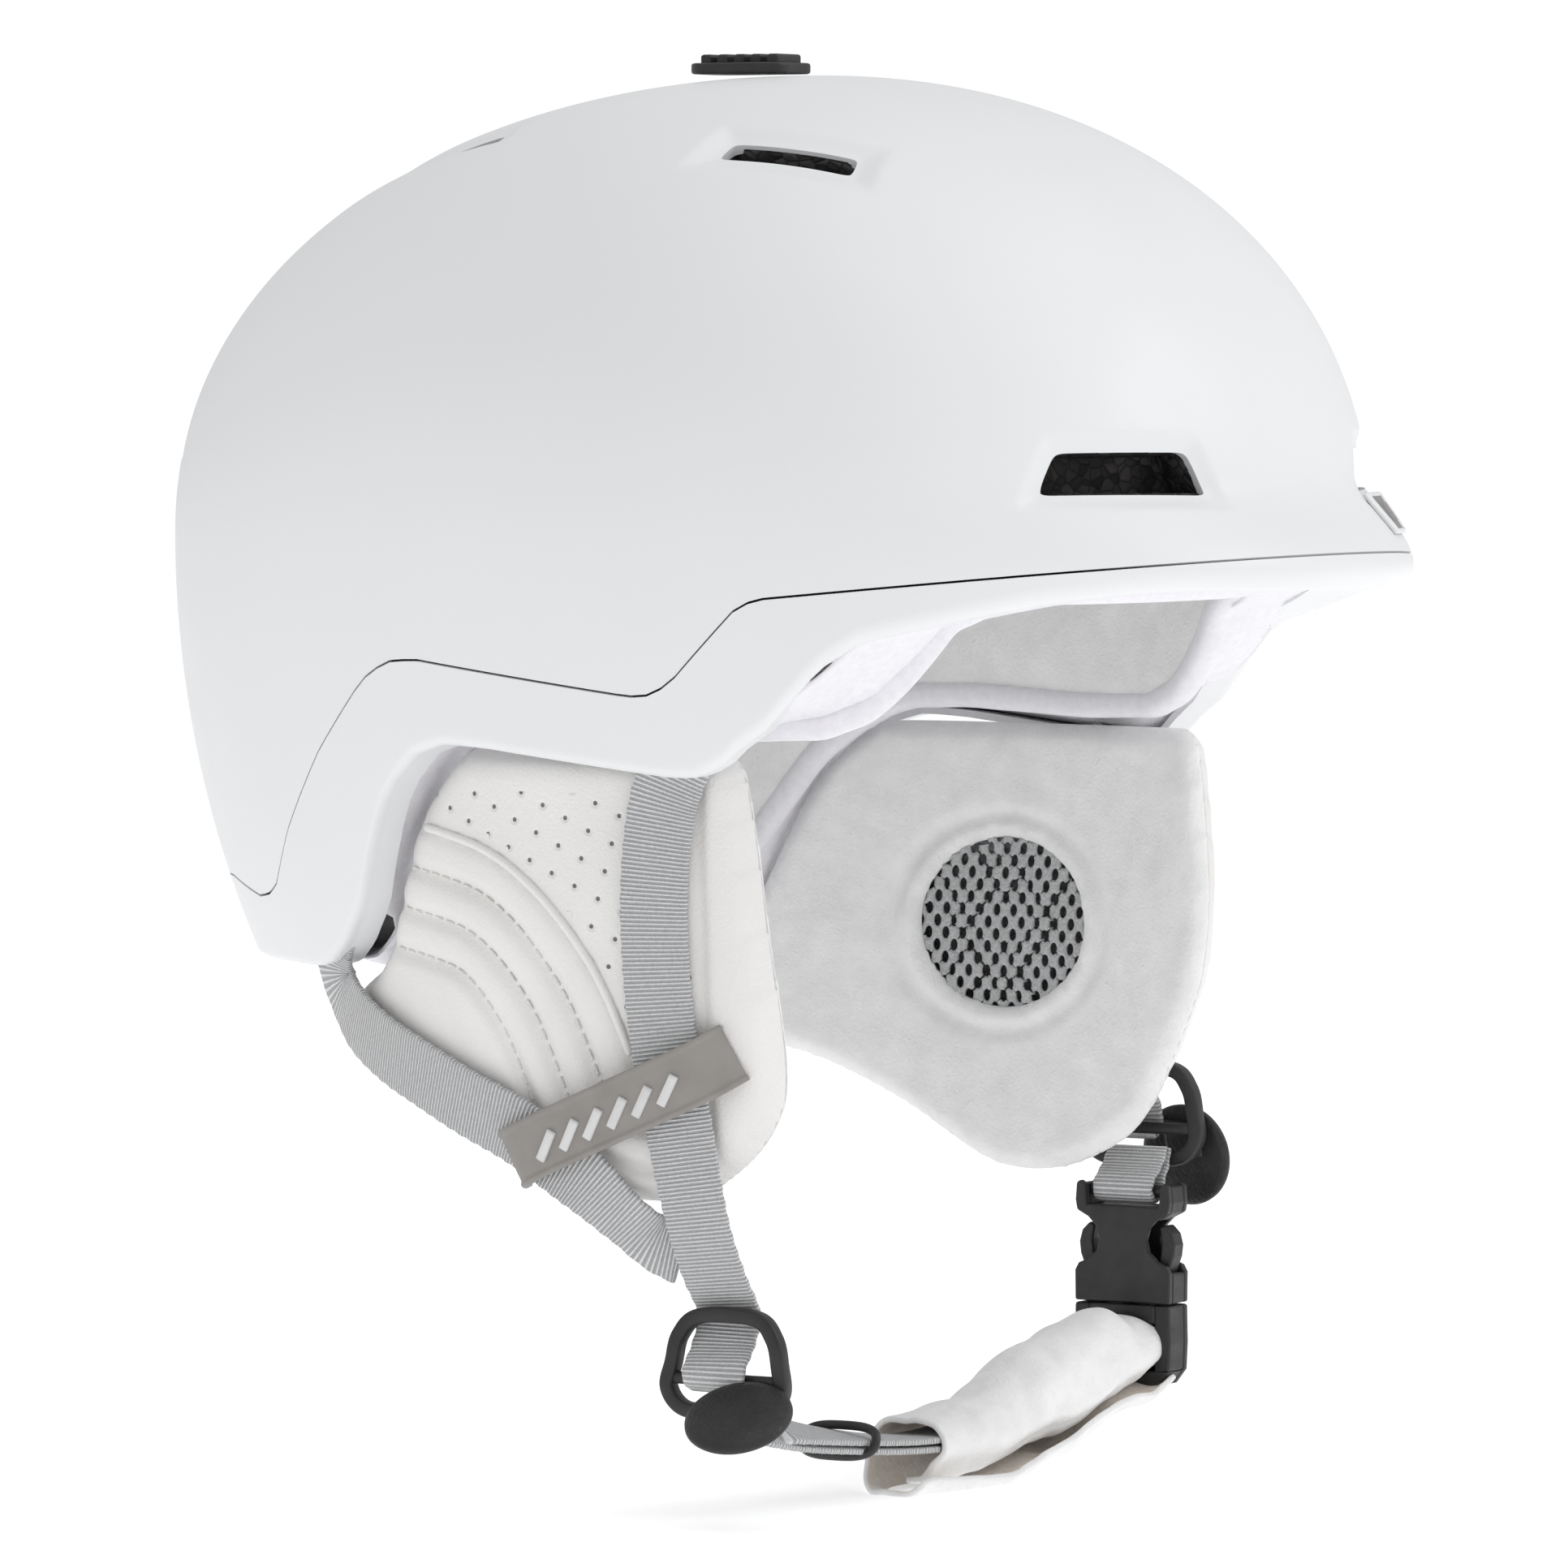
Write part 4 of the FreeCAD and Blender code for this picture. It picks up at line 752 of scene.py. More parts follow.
# Ear pads: soft leather over foam outside, fleece inside, sewn edge to edge. Outside, a perforated
# panel and three quilted channels meet at a piped seam; inside, a knitted mesh covers the ear.
PAD_MIDDLE_Y, FRONT_BEND, REAR_BEND, DOWN_BEND = 8.0, 300.0, 200.0, 1176.0
PAD_OUT = 96.0
OUTER_HALF, INNER_HALF = 0.0080, 0.0043
PIPING = [(60, -57.5), (53.6, -59.6), (40, -61.5), (25, -65.4), (13.5, -72.5), (4.4, -81.8), (-2.5, -92),
          (-7.9, -104.6),
          (-11, -113)]
EAR_MIDDLE = (0.001, -0.0884)
EAR_WIDEN = 1.14


def pad_face(y_place, z_place):
    """Distance of an ear pad's outer face from the centre plane."""
    y_mm, z_mm = y_place * 1000, z_place * 1000
    bend = FRONT_BEND if y_mm < PAD_MIDDLE_Y else REAR_BEND
    return (PAD_OUT - (y_mm - PAD_MIDDLE_Y) ** 2 / bend - (z_mm + 45) ** 2 / DOWN_BEND) / 1000


def ear_distance(y_away, z_away):
    """Distance from the middle of the sound mesh, which is an upright oval a little longer than tall."""
    return math.hypot(y_away / EAR_WIDEN, z_away)


def pad_normal(side, y_place, z_place):
    y_mm, z_mm = y_place * 1000, z_place * 1000
    bend = FRONT_BEND if y_mm < PAD_MIDDLE_Y else REAR_BEND
    return Vector((side, 2 * (y_mm - PAD_MIDDLE_Y) / bend, 2 * (z_mm + 45) / DOWN_BEND)).normalized()


def on_pad(side, y_place, z_place, lift):
    """Station lifted off an ear pad's outer face, all in millimetres."""
    normal = pad_normal(side, y_place / 1000, z_place / 1000)
    point = Vector((side * pad_face(y_place / 1000, z_place / 1000), y_place / 1000, z_place / 1000))
    return (point + normal * lift / 1000, normal)


def line_distance(line, y_place, z_place):
    """Distance to a side-view line, its sign, and the nearest point."""
    best, sign, nearest, run = 1e9, 1.0, None, 0.0
    along = 0.0
    for before, after in zip(line, line[1:]):
        step_y, step_z = after[0] - before[0], after[1] - before[1]
        length = math.hypot(step_y, step_z)
        share = ((y_place - before[0]) * step_y + (z_place - before[1]) * step_z) / max(length * length,
            1e-15)
        share = min(max(share, 0.0), 1.0)
        near_y, near_z = before[0] + step_y * share, before[1] + step_z * share
        distance = math.hypot(y_place - near_y, z_place - near_z)
        if distance < best - 1e-9:
            best, nearest, run = distance, (near_y, near_z), along + length * share
            cross = step_y * (z_place - before[1]) - step_z * (y_place - before[0])
            sign = 1.0 if cross > 0 else -1.0
        along += length
    return best, sign, nearest, run


leather, nodes, links, shader = new_material("white soft leather", (0.80, 0.79, 0.775), 0.42)
shader.inputs["Specular IOR Level"].default_value = 0.45
place = nodes.new("ShaderNodeTexCoord")
grain = nodes.new("ShaderNodeTexVoronoi")
grain.inputs["Scale"].default_value = 1500
links.new(place.outputs["Object"], grain.inputs["Vector"])
links.new(ramp(nodes, links, noise_on(nodes, links, 35, 4),
               [(0.3, (0.775, 0.765, 0.75)), (0.7, (0.83, 0.822, 0.81))]),
          shader.inputs["Base Color"])
links.new(ramp(nodes, links, noise_on(nodes, links, 150, 3), [(0.3, (0.36,) * 3), (0.7, (0.5,) * 3)]),
          shader.inputs["Roughness"])
add_bump(nodes, links, shader, grain.outputs["Distance"], 0.00025, 0.35)
add_bump(nodes, links, shader, noise_on(nodes, links, 90, 4), 0.0008, 0.25)


def perforated(name):
    """Leather with a staggered pattern of 1.3 mm punched holes."""
    material = leather.copy()
    material.name = name
    nodes, links = material.node_tree.nodes, material.node_tree.links
    shader = nodes["Principled BSDF"]
    place = nodes.new("ShaderNodeTexCoord")
    parts = nodes.new("ShaderNodeSeparateXYZ")
    links.new(place.outputs["Object"], parts.inputs["Vector"])

    def work(kind, first, second):
        node = nodes.new("ShaderNodeMath")
        node.operation = kind
        for socket, value in zip(node.inputs, (first, second)):
            if isinstance(value, (int, float)):
                socket.default_value = value
            elif value is not None:
                links.new(value, socket)
        return node.outputs["Value"]

    lean_cos, lean_sin = math.cos(0.42), math.sin(0.42)
    run = work("ADD", work("MULTIPLY", parts.outputs["Y"], lean_cos),
               work("MULTIPLY", parts.outputs["Z"], -lean_sin))
    rise = work("ADD", work("MULTIPLY", parts.outputs["Y"], lean_sin),
                work("MULTIPLY", parts.outputs["Z"], lean_cos))
    nearest = None
    for offset in (0.0, 0.5):
        cell_run = work("SUBTRACT",
                        work("FRACT", work("ADD", work("DIVIDE", run, 0.0080), offset + 10), None), 0.5)
        cell_rise = work("SUBTRACT",
                         work("FRACT", work("ADD", work("DIVIDE", rise, 0.0092), offset + 10), None), 0.5)
        away = work("SQRT", work("ADD", work("POWER", work("MULTIPLY", cell_run, 0.0080), 2.0),
                                 work("POWER", work("MULTIPLY", cell_rise, 0.0092), 2.0)), None)
        nearest = away if nearest is None else work("MINIMUM", nearest, away)
    hole = work("LESS_THAN", nearest, 0.0005)
    mixer = nodes.new("ShaderNodeMix")
    mixer.data_type = "RGBA"
    links.new(hole, mixer.inputs["Factor"])
    links.new(shader.inputs["Base Color"].links[0].from_socket, mixer.inputs["A"])
    mixer.inputs["B"].default_value = (0.16, 0.15, 0.145, 1)
    links.new(mixer.outputs["Result"], shader.inputs["Base Color"])
    dish = work("SMOOTH_MIN", work("DIVIDE", nearest, 0.0012), 1.0)
    dish.node.inputs[2].default_value = 0.2
    add_bump(nodes, links, shader, dish, 0.0006, 0.8)
    return material


perforated_leather = perforated("perforated leather")

ear_fleece = fleece.copy()
ear_fleece.name = "ear fleece"

spacer_mesh, nodes, links, shader = new_material("grey spacer mesh", (0.47, 0.48, 0.49), 0.7)
links.new(ramp(nodes, links, noise_on(nodes, links, 1600, 4),
               [(0.3, (0.38, 0.385, 0.39)), (0.7, (0.56, 0.565, 0.57))]),
          shader.inputs["Base Color"])
add_bump(nodes, links, shader, noise_on(nodes, links, 2600, 3), 0.0004, 0.8)

dark_felt, nodes, links, shader = new_material("dark felt", (0.07, 0.073, 0.078), 0.95)
links.new(ramp(nodes, links, noise_on(nodes, links, 1200, 4),
               [(0.3, (0.04,) * 3), (0.7, (0.13, 0.133, 0.14))]),
          shader.inputs["Base Color"])
add_bump(nodes, links, shader, noise_on(nodes, links, 1500, 3), 0.0006, 0.8)

thread, nodes, links, shader = new_material("white thread", (0.74, 0.73, 0.71), 0.6)
links.new(ramp(nodes, links, noise_on(nodes, links, 2000, 2),
               [(0.3, (0.66, 0.65, 0.63)), (0.7, (0.8, 0.79, 0.77))]),
          shader.inputs["Base Color"])


def add_stitches(bm, line, pitch, length, radius):
    """A row of short rounded stitches along a line of (point, normal)."""
    points = [point for point, _ in line]
    total = sum((after - before).length for before, after in zip(points, points[1:]))
    places, _ = even_line(points, max(int(total / pitch), 2))
    for before, after in zip(places, places[1:]):
        ahead = (after - before).normalized()
        middle = (before + after) / 2
        made = bmesh.ops.create_cone(bm, cap_ends=True, segments=6, radius1=radius, radius2=radius,
                                     depth=length * 0.72)["verts"]
        ends = bmesh.ops.extrude_face_region(bm,
                                             geom=[face for face in {f for v in made for f in v.link_faces}
                                                       if len(face.verts) == 6])
        for vert in [item for item in ends["geom"] if isinstance(item, bmesh.types.BMVert)]:
            vert.co = Vector((vert.co.x * 0.4, vert.co.y * 0.4, vert.co.z * 1.36))
            made.append(vert)
        bmesh.ops.rotate(bm, verts=made, cent=(0, 0, 0), matrix=ahead.to_track_quat("Z", "Y").to_matrix())
        bmesh.ops.translate(bm, verts=made, vec=middle)


def pad_outline(side):
    """Closed side-view edge of an ear pad, in metres."""
    push, drop = (21.0, 4.5) if side > 0 else (0.0, 0.0)
    rough = [(-28 - push, -43.5), (-31.5 - push, -46.5), (-33 - push, -52), (-35 - push, -66),
             (-36.5 - push, -82),
             (-38.3 - 0.85 * push, -98), (-39 - 0.6 * push, -110), (-37.5 - 0.45 * push, -119),
             (-31.5 - 0.3 * push, -128.5 - drop),
             (-21 - 0.1 * push, -136.5 - drop), (-11, -139 - drop), (0, -138.2 - drop), (10, -134 - drop),
             (27, -126.5 - drop / 2), (46, -120), (62, -115.5),
             (72, -111), (78, -106), (79.3, -100.5), (73.5, -95.8), (64, -90.5), (58.5, -81), (54, -70),
             (49, -59),
             (42, -50), (35, -44.5), (30, -43.2), (0, -43.2), (-24 - push, -43.2)]
    dense = smooth_line([(y / 1000, z / 1000) for y, z in rough], 8, closed=True)
    return [(point[0], point[1]) for point in dense]


def clipped_sheet(outline, cell, hole=None):
    """Grid of square cells trimmed to an outline and clear of a round hole: bmesh and edge distances."""
    ring = outline + [outline[0]]
    y_low, y_high = min(p[0] for p in outline), max(p[0] for p in outline)
    z_low, z_high = min(p[1] for p in outline), max(p[1] for p in outline)
    bm = bmesh.new()
    bmesh.ops.create_grid(bm, x_segments=int((y_high - y_low) / cell),
                          y_segments=int((z_high - z_low) / cell), size=0.5)
    bmesh.ops.transform(bm, verts=bm.verts,
                        matrix=Matrix(((0, 0, 0, 0), (y_high - y_low, 0, 0, (y_low + y_high) / 2),
                                                            (0, z_high - z_low, 0, (z_low + z_high) / 2),
                                                            (0, 0, 0, 1))))
    area = sum(a[0] * b[1] - b[0] * a[1] for a, b in zip(ring, ring[1:]))
    inner = 1.0 if area > 0 else -1.0
    distances = {}
    outside = []
    for vert in bm.verts:
        distance, sign, nearest, _ = line_distance(ring, vert.co.y, vert.co.z)
        distances[vert] = distance * sign * inner
        if hole:
            ear = ear_distance(vert.co.y - hole[0], vert.co.z - hole[1]) - hole[2]
            if ear < 0:
                distances[vert] = ear
        if distances[vert] < 0:
            outside.append(vert)
    border = {other for vert in outside for face in vert.link_faces for other in face.verts} - set(outside)
    bmesh.ops.delete(bm, geom=outside, context="VERTS")
    loose = [vert for vert in bm.verts if not vert.link_faces]
    bmesh.ops.delete(bm, geom=loose, context="VERTS")
    kept = {}
    for vert in bm.verts:
        kept[vert] = distances[vert]
        if vert.is_boundary:
            ear = ear_distance(vert.co.y - hole[0], vert.co.z - hole[1]) if hole else 1.0
            if hole and abs(ear - hole[2]) < cell * 1.6:
                away = Vector((0, vert.co.y - hole[0], vert.co.z - hole[1])) * hole[2] / ear
                vert.co = Vector((0, hole[0], hole[1])) + away
            else:
                _, _, nearest, _ = line_distance(ring, vert.co.y, vert.co.z)
                vert.co = Vector((0, nearest[0], nearest[1]))
                kept[vert] = 0.0
    return bm, kept


def lobe(distance, radius):
    """Rounded pad edge: 0 at the seam, 1 inside."""
    share = min(max(distance / radius, 0.0), 1.0)
    return math.sqrt(max(1 - (1 - share) ** 2, 0.0))


piping_line = [(p[0], p[1]) for p in smooth_line([(y / 1000, z / 1000) for y, z in PIPING], 8)]
for side, word in ((-1, "right"), (1, "left")):
    outline = pad_outline(side)
    bm, edge_far = clipped_sheet(outline, 0.0013)
    for vert in bm.verts:
        y_place, z_place = vert.co.y, vert.co.z
        far, sign, _, run = line_distance(piping_line, y_place, z_place)
        past = far * sign
        lift = OUTER_HALF * lobe(edge_far[vert], 0.0075)
        front_share = ease((y_place + 0.0235 + (0.013 if side > 0 else 0)) / 0.006)
        if past < 0:
            lift -= 0.0007 * front_share * lobe(edge_far[vert], 0.01)
        else:
            puff = 0.0
            for groove in (0.0, 0.0095, 0.0185, 0.0275):
                puff += 0.0019 * math.exp(-((past - groove) / 0.0016) ** 2)
            lift -= puff * front_share * lobe(edge_far[vert], 0.01)
        if past > 0 or front_share < 1:
            lift += noise.noise(Vector((0, y_place * 60, z_place * 60))) * 0.0005 * lobe(edge_far[vert], 0.01)
        crease = 0.0012 * math.exp(-((y_place + 0.0255 + (0.013 if side > 0 else 0)) / 0.0012) ** 2)
        lift -= crease * lobe(edge_far[vert], 0.01)
        middle_x = pad_face(y_place, z_place) - OUTER_HALF
        vert.co = Vector((side * (middle_x + lift), y_place, z_place))
    for face in bm.faces:
        centre = face.calc_center_median()
        far, sign, _, _ = line_distance(piping_line, centre.y, centre.z)
        limit = -0.024 - (0.013 if side > 0 else 0)
        face.material_index = 1 if sign < 0 and centre.y > limit and centre.z < -0.052 and far > 0.003 else 0
    bmesh.ops.recalc_face_normals(bm, faces=bm.faces)
    if sum(face.normal.x for face in bm.faces) * side < 0:
        bmesh.ops.reverse_faces(bm, faces=bm.faces)
    cover = keep_piece("ear_pad_cover_" + word, bm, [leather, perforated_leather], "ear_" + word)
    add_wall(cover, 0.0009)
    finer = cover.modifiers.new("finer", "SUBSURF")
    finer.levels = finer.render_levels = 1
    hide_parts("ear_cover_" + word, "ear_foam_" + word)

    bm, edge_far = clipped_sheet(outline, 0.0015, (EAR_MIDDLE[0], EAR_MIDDLE[1], 0.0185))
    for vert in bm.verts:
        y_place, z_place = vert.co.y, vert.co.z
        ear = ear_distance(y_place - EAR_MIDDLE[0], z_place - EAR_MIDDLE[1])
        lift = INNER_HALF * lobe(edge_far[vert], 0.006)
        lift -= 0.0019 * math.exp(-((ear - 0.0242) / 0.0016) ** 2)
        lift -= 0.0026 * (1 - ease((ear - 0.0183) / 0.0022))
        spot = Vector((side, y_place * 55, z_place * 55))
        lift += (noise.noise(spot) * 0.0007 + noise.noise(spot * 3.1) * 0.00035) * lobe(edge_far[vert], 0.008)
        middle_x = pad_face(y_place, z_place) - OUTER_HALF
        vert.co = Vector((side * (middle_x - lift), y_place, z_place))
    bmesh.ops.recalc_face_normals(bm, faces=bm.faces)
    if sum(face.normal.x for face in bm.faces) * side > 0:
        bmesh.ops.reverse_faces(bm, faces=bm.faces)
    lining = keep_piece("ear_pad_lining_" + word, bm, [ear_fleece], "ear_" + word)
    add_wall(lining, 0.001)
    finer = lining.modifiers.new("finer", "SUBSURF")
    finer.levels = finer.render_levels = 1
    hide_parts("ear_lining_" + word)

    # Sound mesh: oval openings in staggered rows, over dark felt.
    bm = bmesh.new()
    bmesh.ops.create_grid(bm, x_segments=100, y_segments=100, size=0.0225)
    inside = []
    for vert in bm.verts:
        y_cell, z_cell = vert.co.x, vert.co.y
        best = 1e9
        for shift in (0.0, 0.5):
            cell_y = (round(y_cell / 0.0044 + shift) - shift) * 0.0044
            cell_z = (round(z_cell / 0.0055 + shift) - shift) * 0.0055
            away = math.hypot((y_cell - cell_y) / 0.00100, (z_cell - cell_z) / 0.00140)
            if away < best:
                best, nearest = away, (cell_y, cell_z)
        vert.co = Vector((best, y_cell, z_cell))
        if best < 1 or ear_distance(y_cell, z_cell) > 0.0195:
            inside.append(vert)
    bmesh.ops.delete(bm, geom=inside, context="VERTS")
    bmesh.ops.delete(bm, geom=[vert for vert in bm.verts if not vert.link_faces], context="VERTS")
    for vert in bm.verts:
        y_cell, z_cell = vert.co.y, vert.co.z
        if vert.is_boundary and vert.co.x < 1.9 and ear_distance(y_cell, z_cell) < 0.0188:
            for shift in (0.0, 0.5):
                cell_y = (round(y_cell / 0.0044 + shift) - shift) * 0.0044
                cell_z = (round(z_cell / 0.0055 + shift) - shift) * 0.0055
                away = math.hypot((y_cell - cell_y) / 0.00100, (z_cell - cell_z) / 0.00140)
                if abs(away - vert.co.x) < 1e-5:
                    y_cell = cell_y + (y_cell - cell_y) / away
                    z_cell = cell_z + (z_cell - cell_z) / away
                    break
        y_place, z_place = y_cell + EAR_MIDDLE[0], z_cell + EAR_MIDDLE[1]
        dome = 0.0012 * (1 - (ear_distance(y_cell, z_cell) / 0.0195) ** 2)
        vert.co = Vector((side * (pad_face(y_place, z_place) - OUTER_HALF - 0.0016 - dome), y_place, z_place))
    bmesh.ops.recalc_face_normals(bm, faces=bm.faces)
    if sum(face.normal.x for face in bm.faces) * side > 0:
        bmesh.ops.reverse_faces(bm, faces=bm.faces)
    mesh_disc = keep_piece("sound_mesh_" + word, bm, [spacer_mesh], "ear_" + word)
    add_wall(mesh_disc, 0.0007)
    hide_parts("ear_mesh_" + word)
    bm = bmesh.new()
    bmesh.ops.create_circle(bm, cap_ends=True, segments=48, radius=0.0205)
    raised = bmesh.ops.extrude_face_region(bm, geom=bm.faces[:])
    bmesh.ops.translate(bm, verts=[item for item in raised["geom"] if isinstance(item, bmesh.types.BMVert)],
                        vec=(0, 0, 0.001))
    bmesh.ops.recalc_face_normals(bm, faces=bm.faces)
    disc_x = side * (pad_face(*EAR_MIDDLE) - OUTER_HALF + 0.0006)
    bmesh.ops.transform(bm, verts=bm.verts, matrix=Matrix.Translation((disc_x, *EAR_MIDDLE))
                        @ Matrix.Rotation(math.pi / 2, 4, "Y") @ Matrix.Rotation(-0.07 * side, 4, "Y")
                        @ Matrix.Diagonal((1, EAR_WIDEN, 1, 1)))
    keep_piece("sound_felt_" + word, bm, [dark_felt], "ear_" + word, smooth=False)

    # Piping along the seam of the quilted panel, and rows of stitches.
    bm = bmesh.new()
    run = [point for point in piping_line if -0.0095 < point[0] < 0.0455][::4]
    add_sweep(bm, [on_pad(side, y * 1000, z * 1000, -0.55) for y, z in run], oval_section(0.0019, 0.0019), 10,
              120)
    keep_piece("ear_piping_" + word, bm, [leather], "ear_" + word)
    bm = bmesh.new()
    ring = outline + [outline[0]]
    turned = sum(a[0] * b[1] - b[0] * a[1] for a, b in zip(ring, ring[1:]))
    for groove in (0.0095, 0.0185, 0.0275):
        row = []
        for before, after in zip(piping_line, piping_line[1:]):
            step = Vector((0, after[0] - before[0], after[1] - before[1])).normalized()
            y_place = before[0] - step.z * groove
            z_place = before[1] + step.y * groove
            far, sign, _, _ = line_distance(outline + [outline[0]], y_place, z_place)
            inside_pad = far > 0.003 and sign * turned > 0 and -0.012 < y_place < 0.064 and z_place > -0.132
            if inside_pad:
                row.append((on_pad(side, y_place * 1000, z_place * 1000, -1.3)[0], None))
        if len(row) > 4:
            add_stitches(bm, row, 0.0034, 0.0026, 0.00034)
    keep_piece("ear_stitches_" + word, bm, [thread], "ear_" + word)

# Straps: 15 mm ribbed polyester webbing, 1.6 mm thick. Each ear pad carries a front strap down to
# its adjuster and a rear strap that runs forward along the pad's lower edge to meet it.
RIB_PITCH = 0.0009
webbing, nodes, links, shader = new_material("silver ribbed webbing", (0.44, 0.445, 0.455), 0.55)
shader.inputs["Sheen Weight"].default_value = 0.25
place = nodes.new("ShaderNodeUVMap")
place.uv_map = "UVMap"
parts = nodes.new("ShaderNodeSeparateXYZ")
links.new(place.outputs["UV"], parts.inputs["Vector"])
waves = []
for axis, pitch in (("Y", RIB_PITCH), ("X", 0.00055)):
    turns = nodes.new("ShaderNodeMath")
    turns.operation = "MULTIPLY"
    turns.inputs[1].default_value = 2 * math.pi / pitch
    links.new(parts.outputs[axis], turns.inputs[0])
    wave = nodes.new("ShaderNodeMath")
    wave.operation = "SINE"
    links.new(turns.outputs["Value"], wave.inputs[0])
    waves.append(wave.outputs["Value"])
# The rib wave paints the grooves darker and the crests lighter: painted shade between the ribs and a painted
# highlight on them. The noise it is multiplied by is random tone.
rib = ramp(nodes, links, waves[0], [(0.0, (0.40, 0.405, 0.415)), (0.45, (0.76, 0.765, 0.775))])
rib_groove_shade_and_tone = nodes.new("ShaderNodeMix")
rib_groove_shade_and_tone.data_type = "RGBA"
rib_groove_shade_and_tone.blend_type = "MULTIPLY"
rib_groove_shade_and_tone.inputs["Factor"].default_value = 0.5
links.new(rib, rib_groove_shade_and_tone.inputs["A"])
links.new(ramp(nodes, links, noise_on(nodes, links, 1500, 3), [(0.3, (0.66,) * 3), (0.7, (1, 1, 1))]),
          rib_groove_shade_and_tone.inputs["B"])
links.new(rib_groove_shade_and_tone.outputs["Result"], shader.inputs["Base Color"])
add_bump(nodes, links, shader, waves[0], 0.00016, 0.9)
add_bump(nodes, links, shader, waves[1], 0.00005, 0.5)


def web_section(thick=0.0016, wide=0.015):
    """Flat band with soft edges that the ribs make slightly uneven."""
    def section(share_round, share_along, length):
        angle = share_round * 2 * math.pi
        edge = 0.00012 * math.sin(length * 2 * math.pi / RIB_PITCH / 4)
        return (signed_power(math.cos(angle), 0.35) * (wide / 2 + edge),
                signed_power(math.sin(angle), 0.35) * thick / 2)
    return section


FRAME_MIDDLES = {-1: mm(-81.5, -26, -172), 1: mm(91.5, -30, -130.5)}
for side, word in ((-1, "right"), (1, "left")):
    outward = (side, 0, 0)
    stations = [on_pad(side, y, z, 1.7) for y, z in ((-22, -45.5), (-18.5, -56), (-16.5, -75), (-17, -98))]
    if side < 0:
        stations += [on_pad(side, -19.5, -120, 1.9), (mm(-87.5, -22.6, -141), outward),
                     (mm(-83, -24, -153), outward),
                     (mm(-78.8, -24.6, -159.5), outward), (mm(-77.8, -24.8, -163), outward),
                     (mm(-80.4, -24.8, -168.4), (side, 0, 0.4)), (mm(-84.2, -25, -172.6), (side, 0, 0.5)),
                     (mm(-84.4, -25, -175.6), (side, 0, -0.3)), (mm(-81.6, -25, -177.4), (side * 0.2, 0, -1))]
    else:
        stations += [on_pad(side, -20.5, -109, 2.6), (mm(95.0, -23.5, -116), outward),
                     (mm(95.0, -24.5, -121), outward),
                     (mm(92.4, -25.5, -126), outward), (mm(94.2, -26, -130.6), outward),
                     (mm(94.2, -26, -134), (side, 0, -0.4)), (mm(91.6, -26, -135.8), (side * 0.2, 0, -1))]
    bm = bmesh.new()
    add_sweep(bm, stations, web_section(), 28, 420)
    front_strap = keep_piece("front_webbing_" + word, bm, [webbing], "ear_" + word)
    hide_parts("front_strap_" + word)

    stations = [(mm(side * 81.5, 64, -71), (side * 0.9, 0.42, -0.1)),
                (mm(side * 79.6, 70.5, -79), (side * 0.9, 0.42, -0.1)),
                (mm(side * 76, 76, -87.5), (side * 0.88, 0.46, -0.15)),
                (mm(side * 73.4, 75.5, -96), (side * 0.86, 0.48, -0.18))]
    if side < 0:
        stations += [on_pad(side, y, z, 2.5) for y,
                     z in ((67.5, -102.8), (57, -108.4), (45, -113), (32, -118.3), (18, -124))]
        stations += [(mm(-91.6, 5, -132.4), (-1, 0, -0.12)), (mm(-87.6, -3.6, -141), (-0.9, 0.1, -0.35)),
                     (mm(-83.4, -9.5, -146.6), (-0.9, 0.1, -0.3)), (mm(-81.4, -15.5, -149), (-0.95, 0, -0.2))]
    else:
        stations += [on_pad(side, y, z, 2.5) for y,
                     z in ((67, -101.5), (57, -106), (46, -109.5), (33, -112.8), (18, -117), (5, -121))]
        stations += [(mm(91.2, -7, -126), outward), (mm(90.2, -15, -129), outward)]
    bm = bmesh.new()
    add_sweep(bm, stations, web_section(), 28, 420)
    rear_strap = keep_piece("rear_webbing_" + word, bm, [webbing], "ear_" + word)
    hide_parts("rear_strap_" + word)

# Strap keepers: a moulded grey rubber band that holds both straps together, with raised edges and
# a plain row of slanted lighter bars.
keeper_rubber, nodes, links, shader = new_material("warm grey rubber", (0.27, 0.255, 0.24), 0.6)
links.new(ramp(nodes, links, noise_on(nodes, links, 120, 4),
               [(0.3, (0.25, 0.236, 0.222)), (0.7, (0.29, 0.275, 0.26))]),
          shader.inputs["Base Color"])
add_bump(nodes, links, shader, noise_on(nodes, links, 2200, 3), 0.00006, 0.6)
bar_rubber, nodes, links, shader = new_material("light grey rubber", (0.66, 0.66, 0.655), 0.55)
links.new(ramp(nodes, links, noise_on(nodes, links, 150, 3), [(0.3, (0.62,) * 3), (0.7, (0.7,) * 3)]),
          shader.inputs["Base Color"])


def keeper_section(share_round, share_along, length):
    angle = share_round * 2 * math.pi
    across = signed_power(math.cos(angle), 0.4) * 0.0066
    outward = signed_power(math.sin(angle), 0.4) * 0.0009
    if outward > 0:
        outward += 0.0005 * ease((abs(across) - 0.0050) / 0.0007)
    return (across, outward)


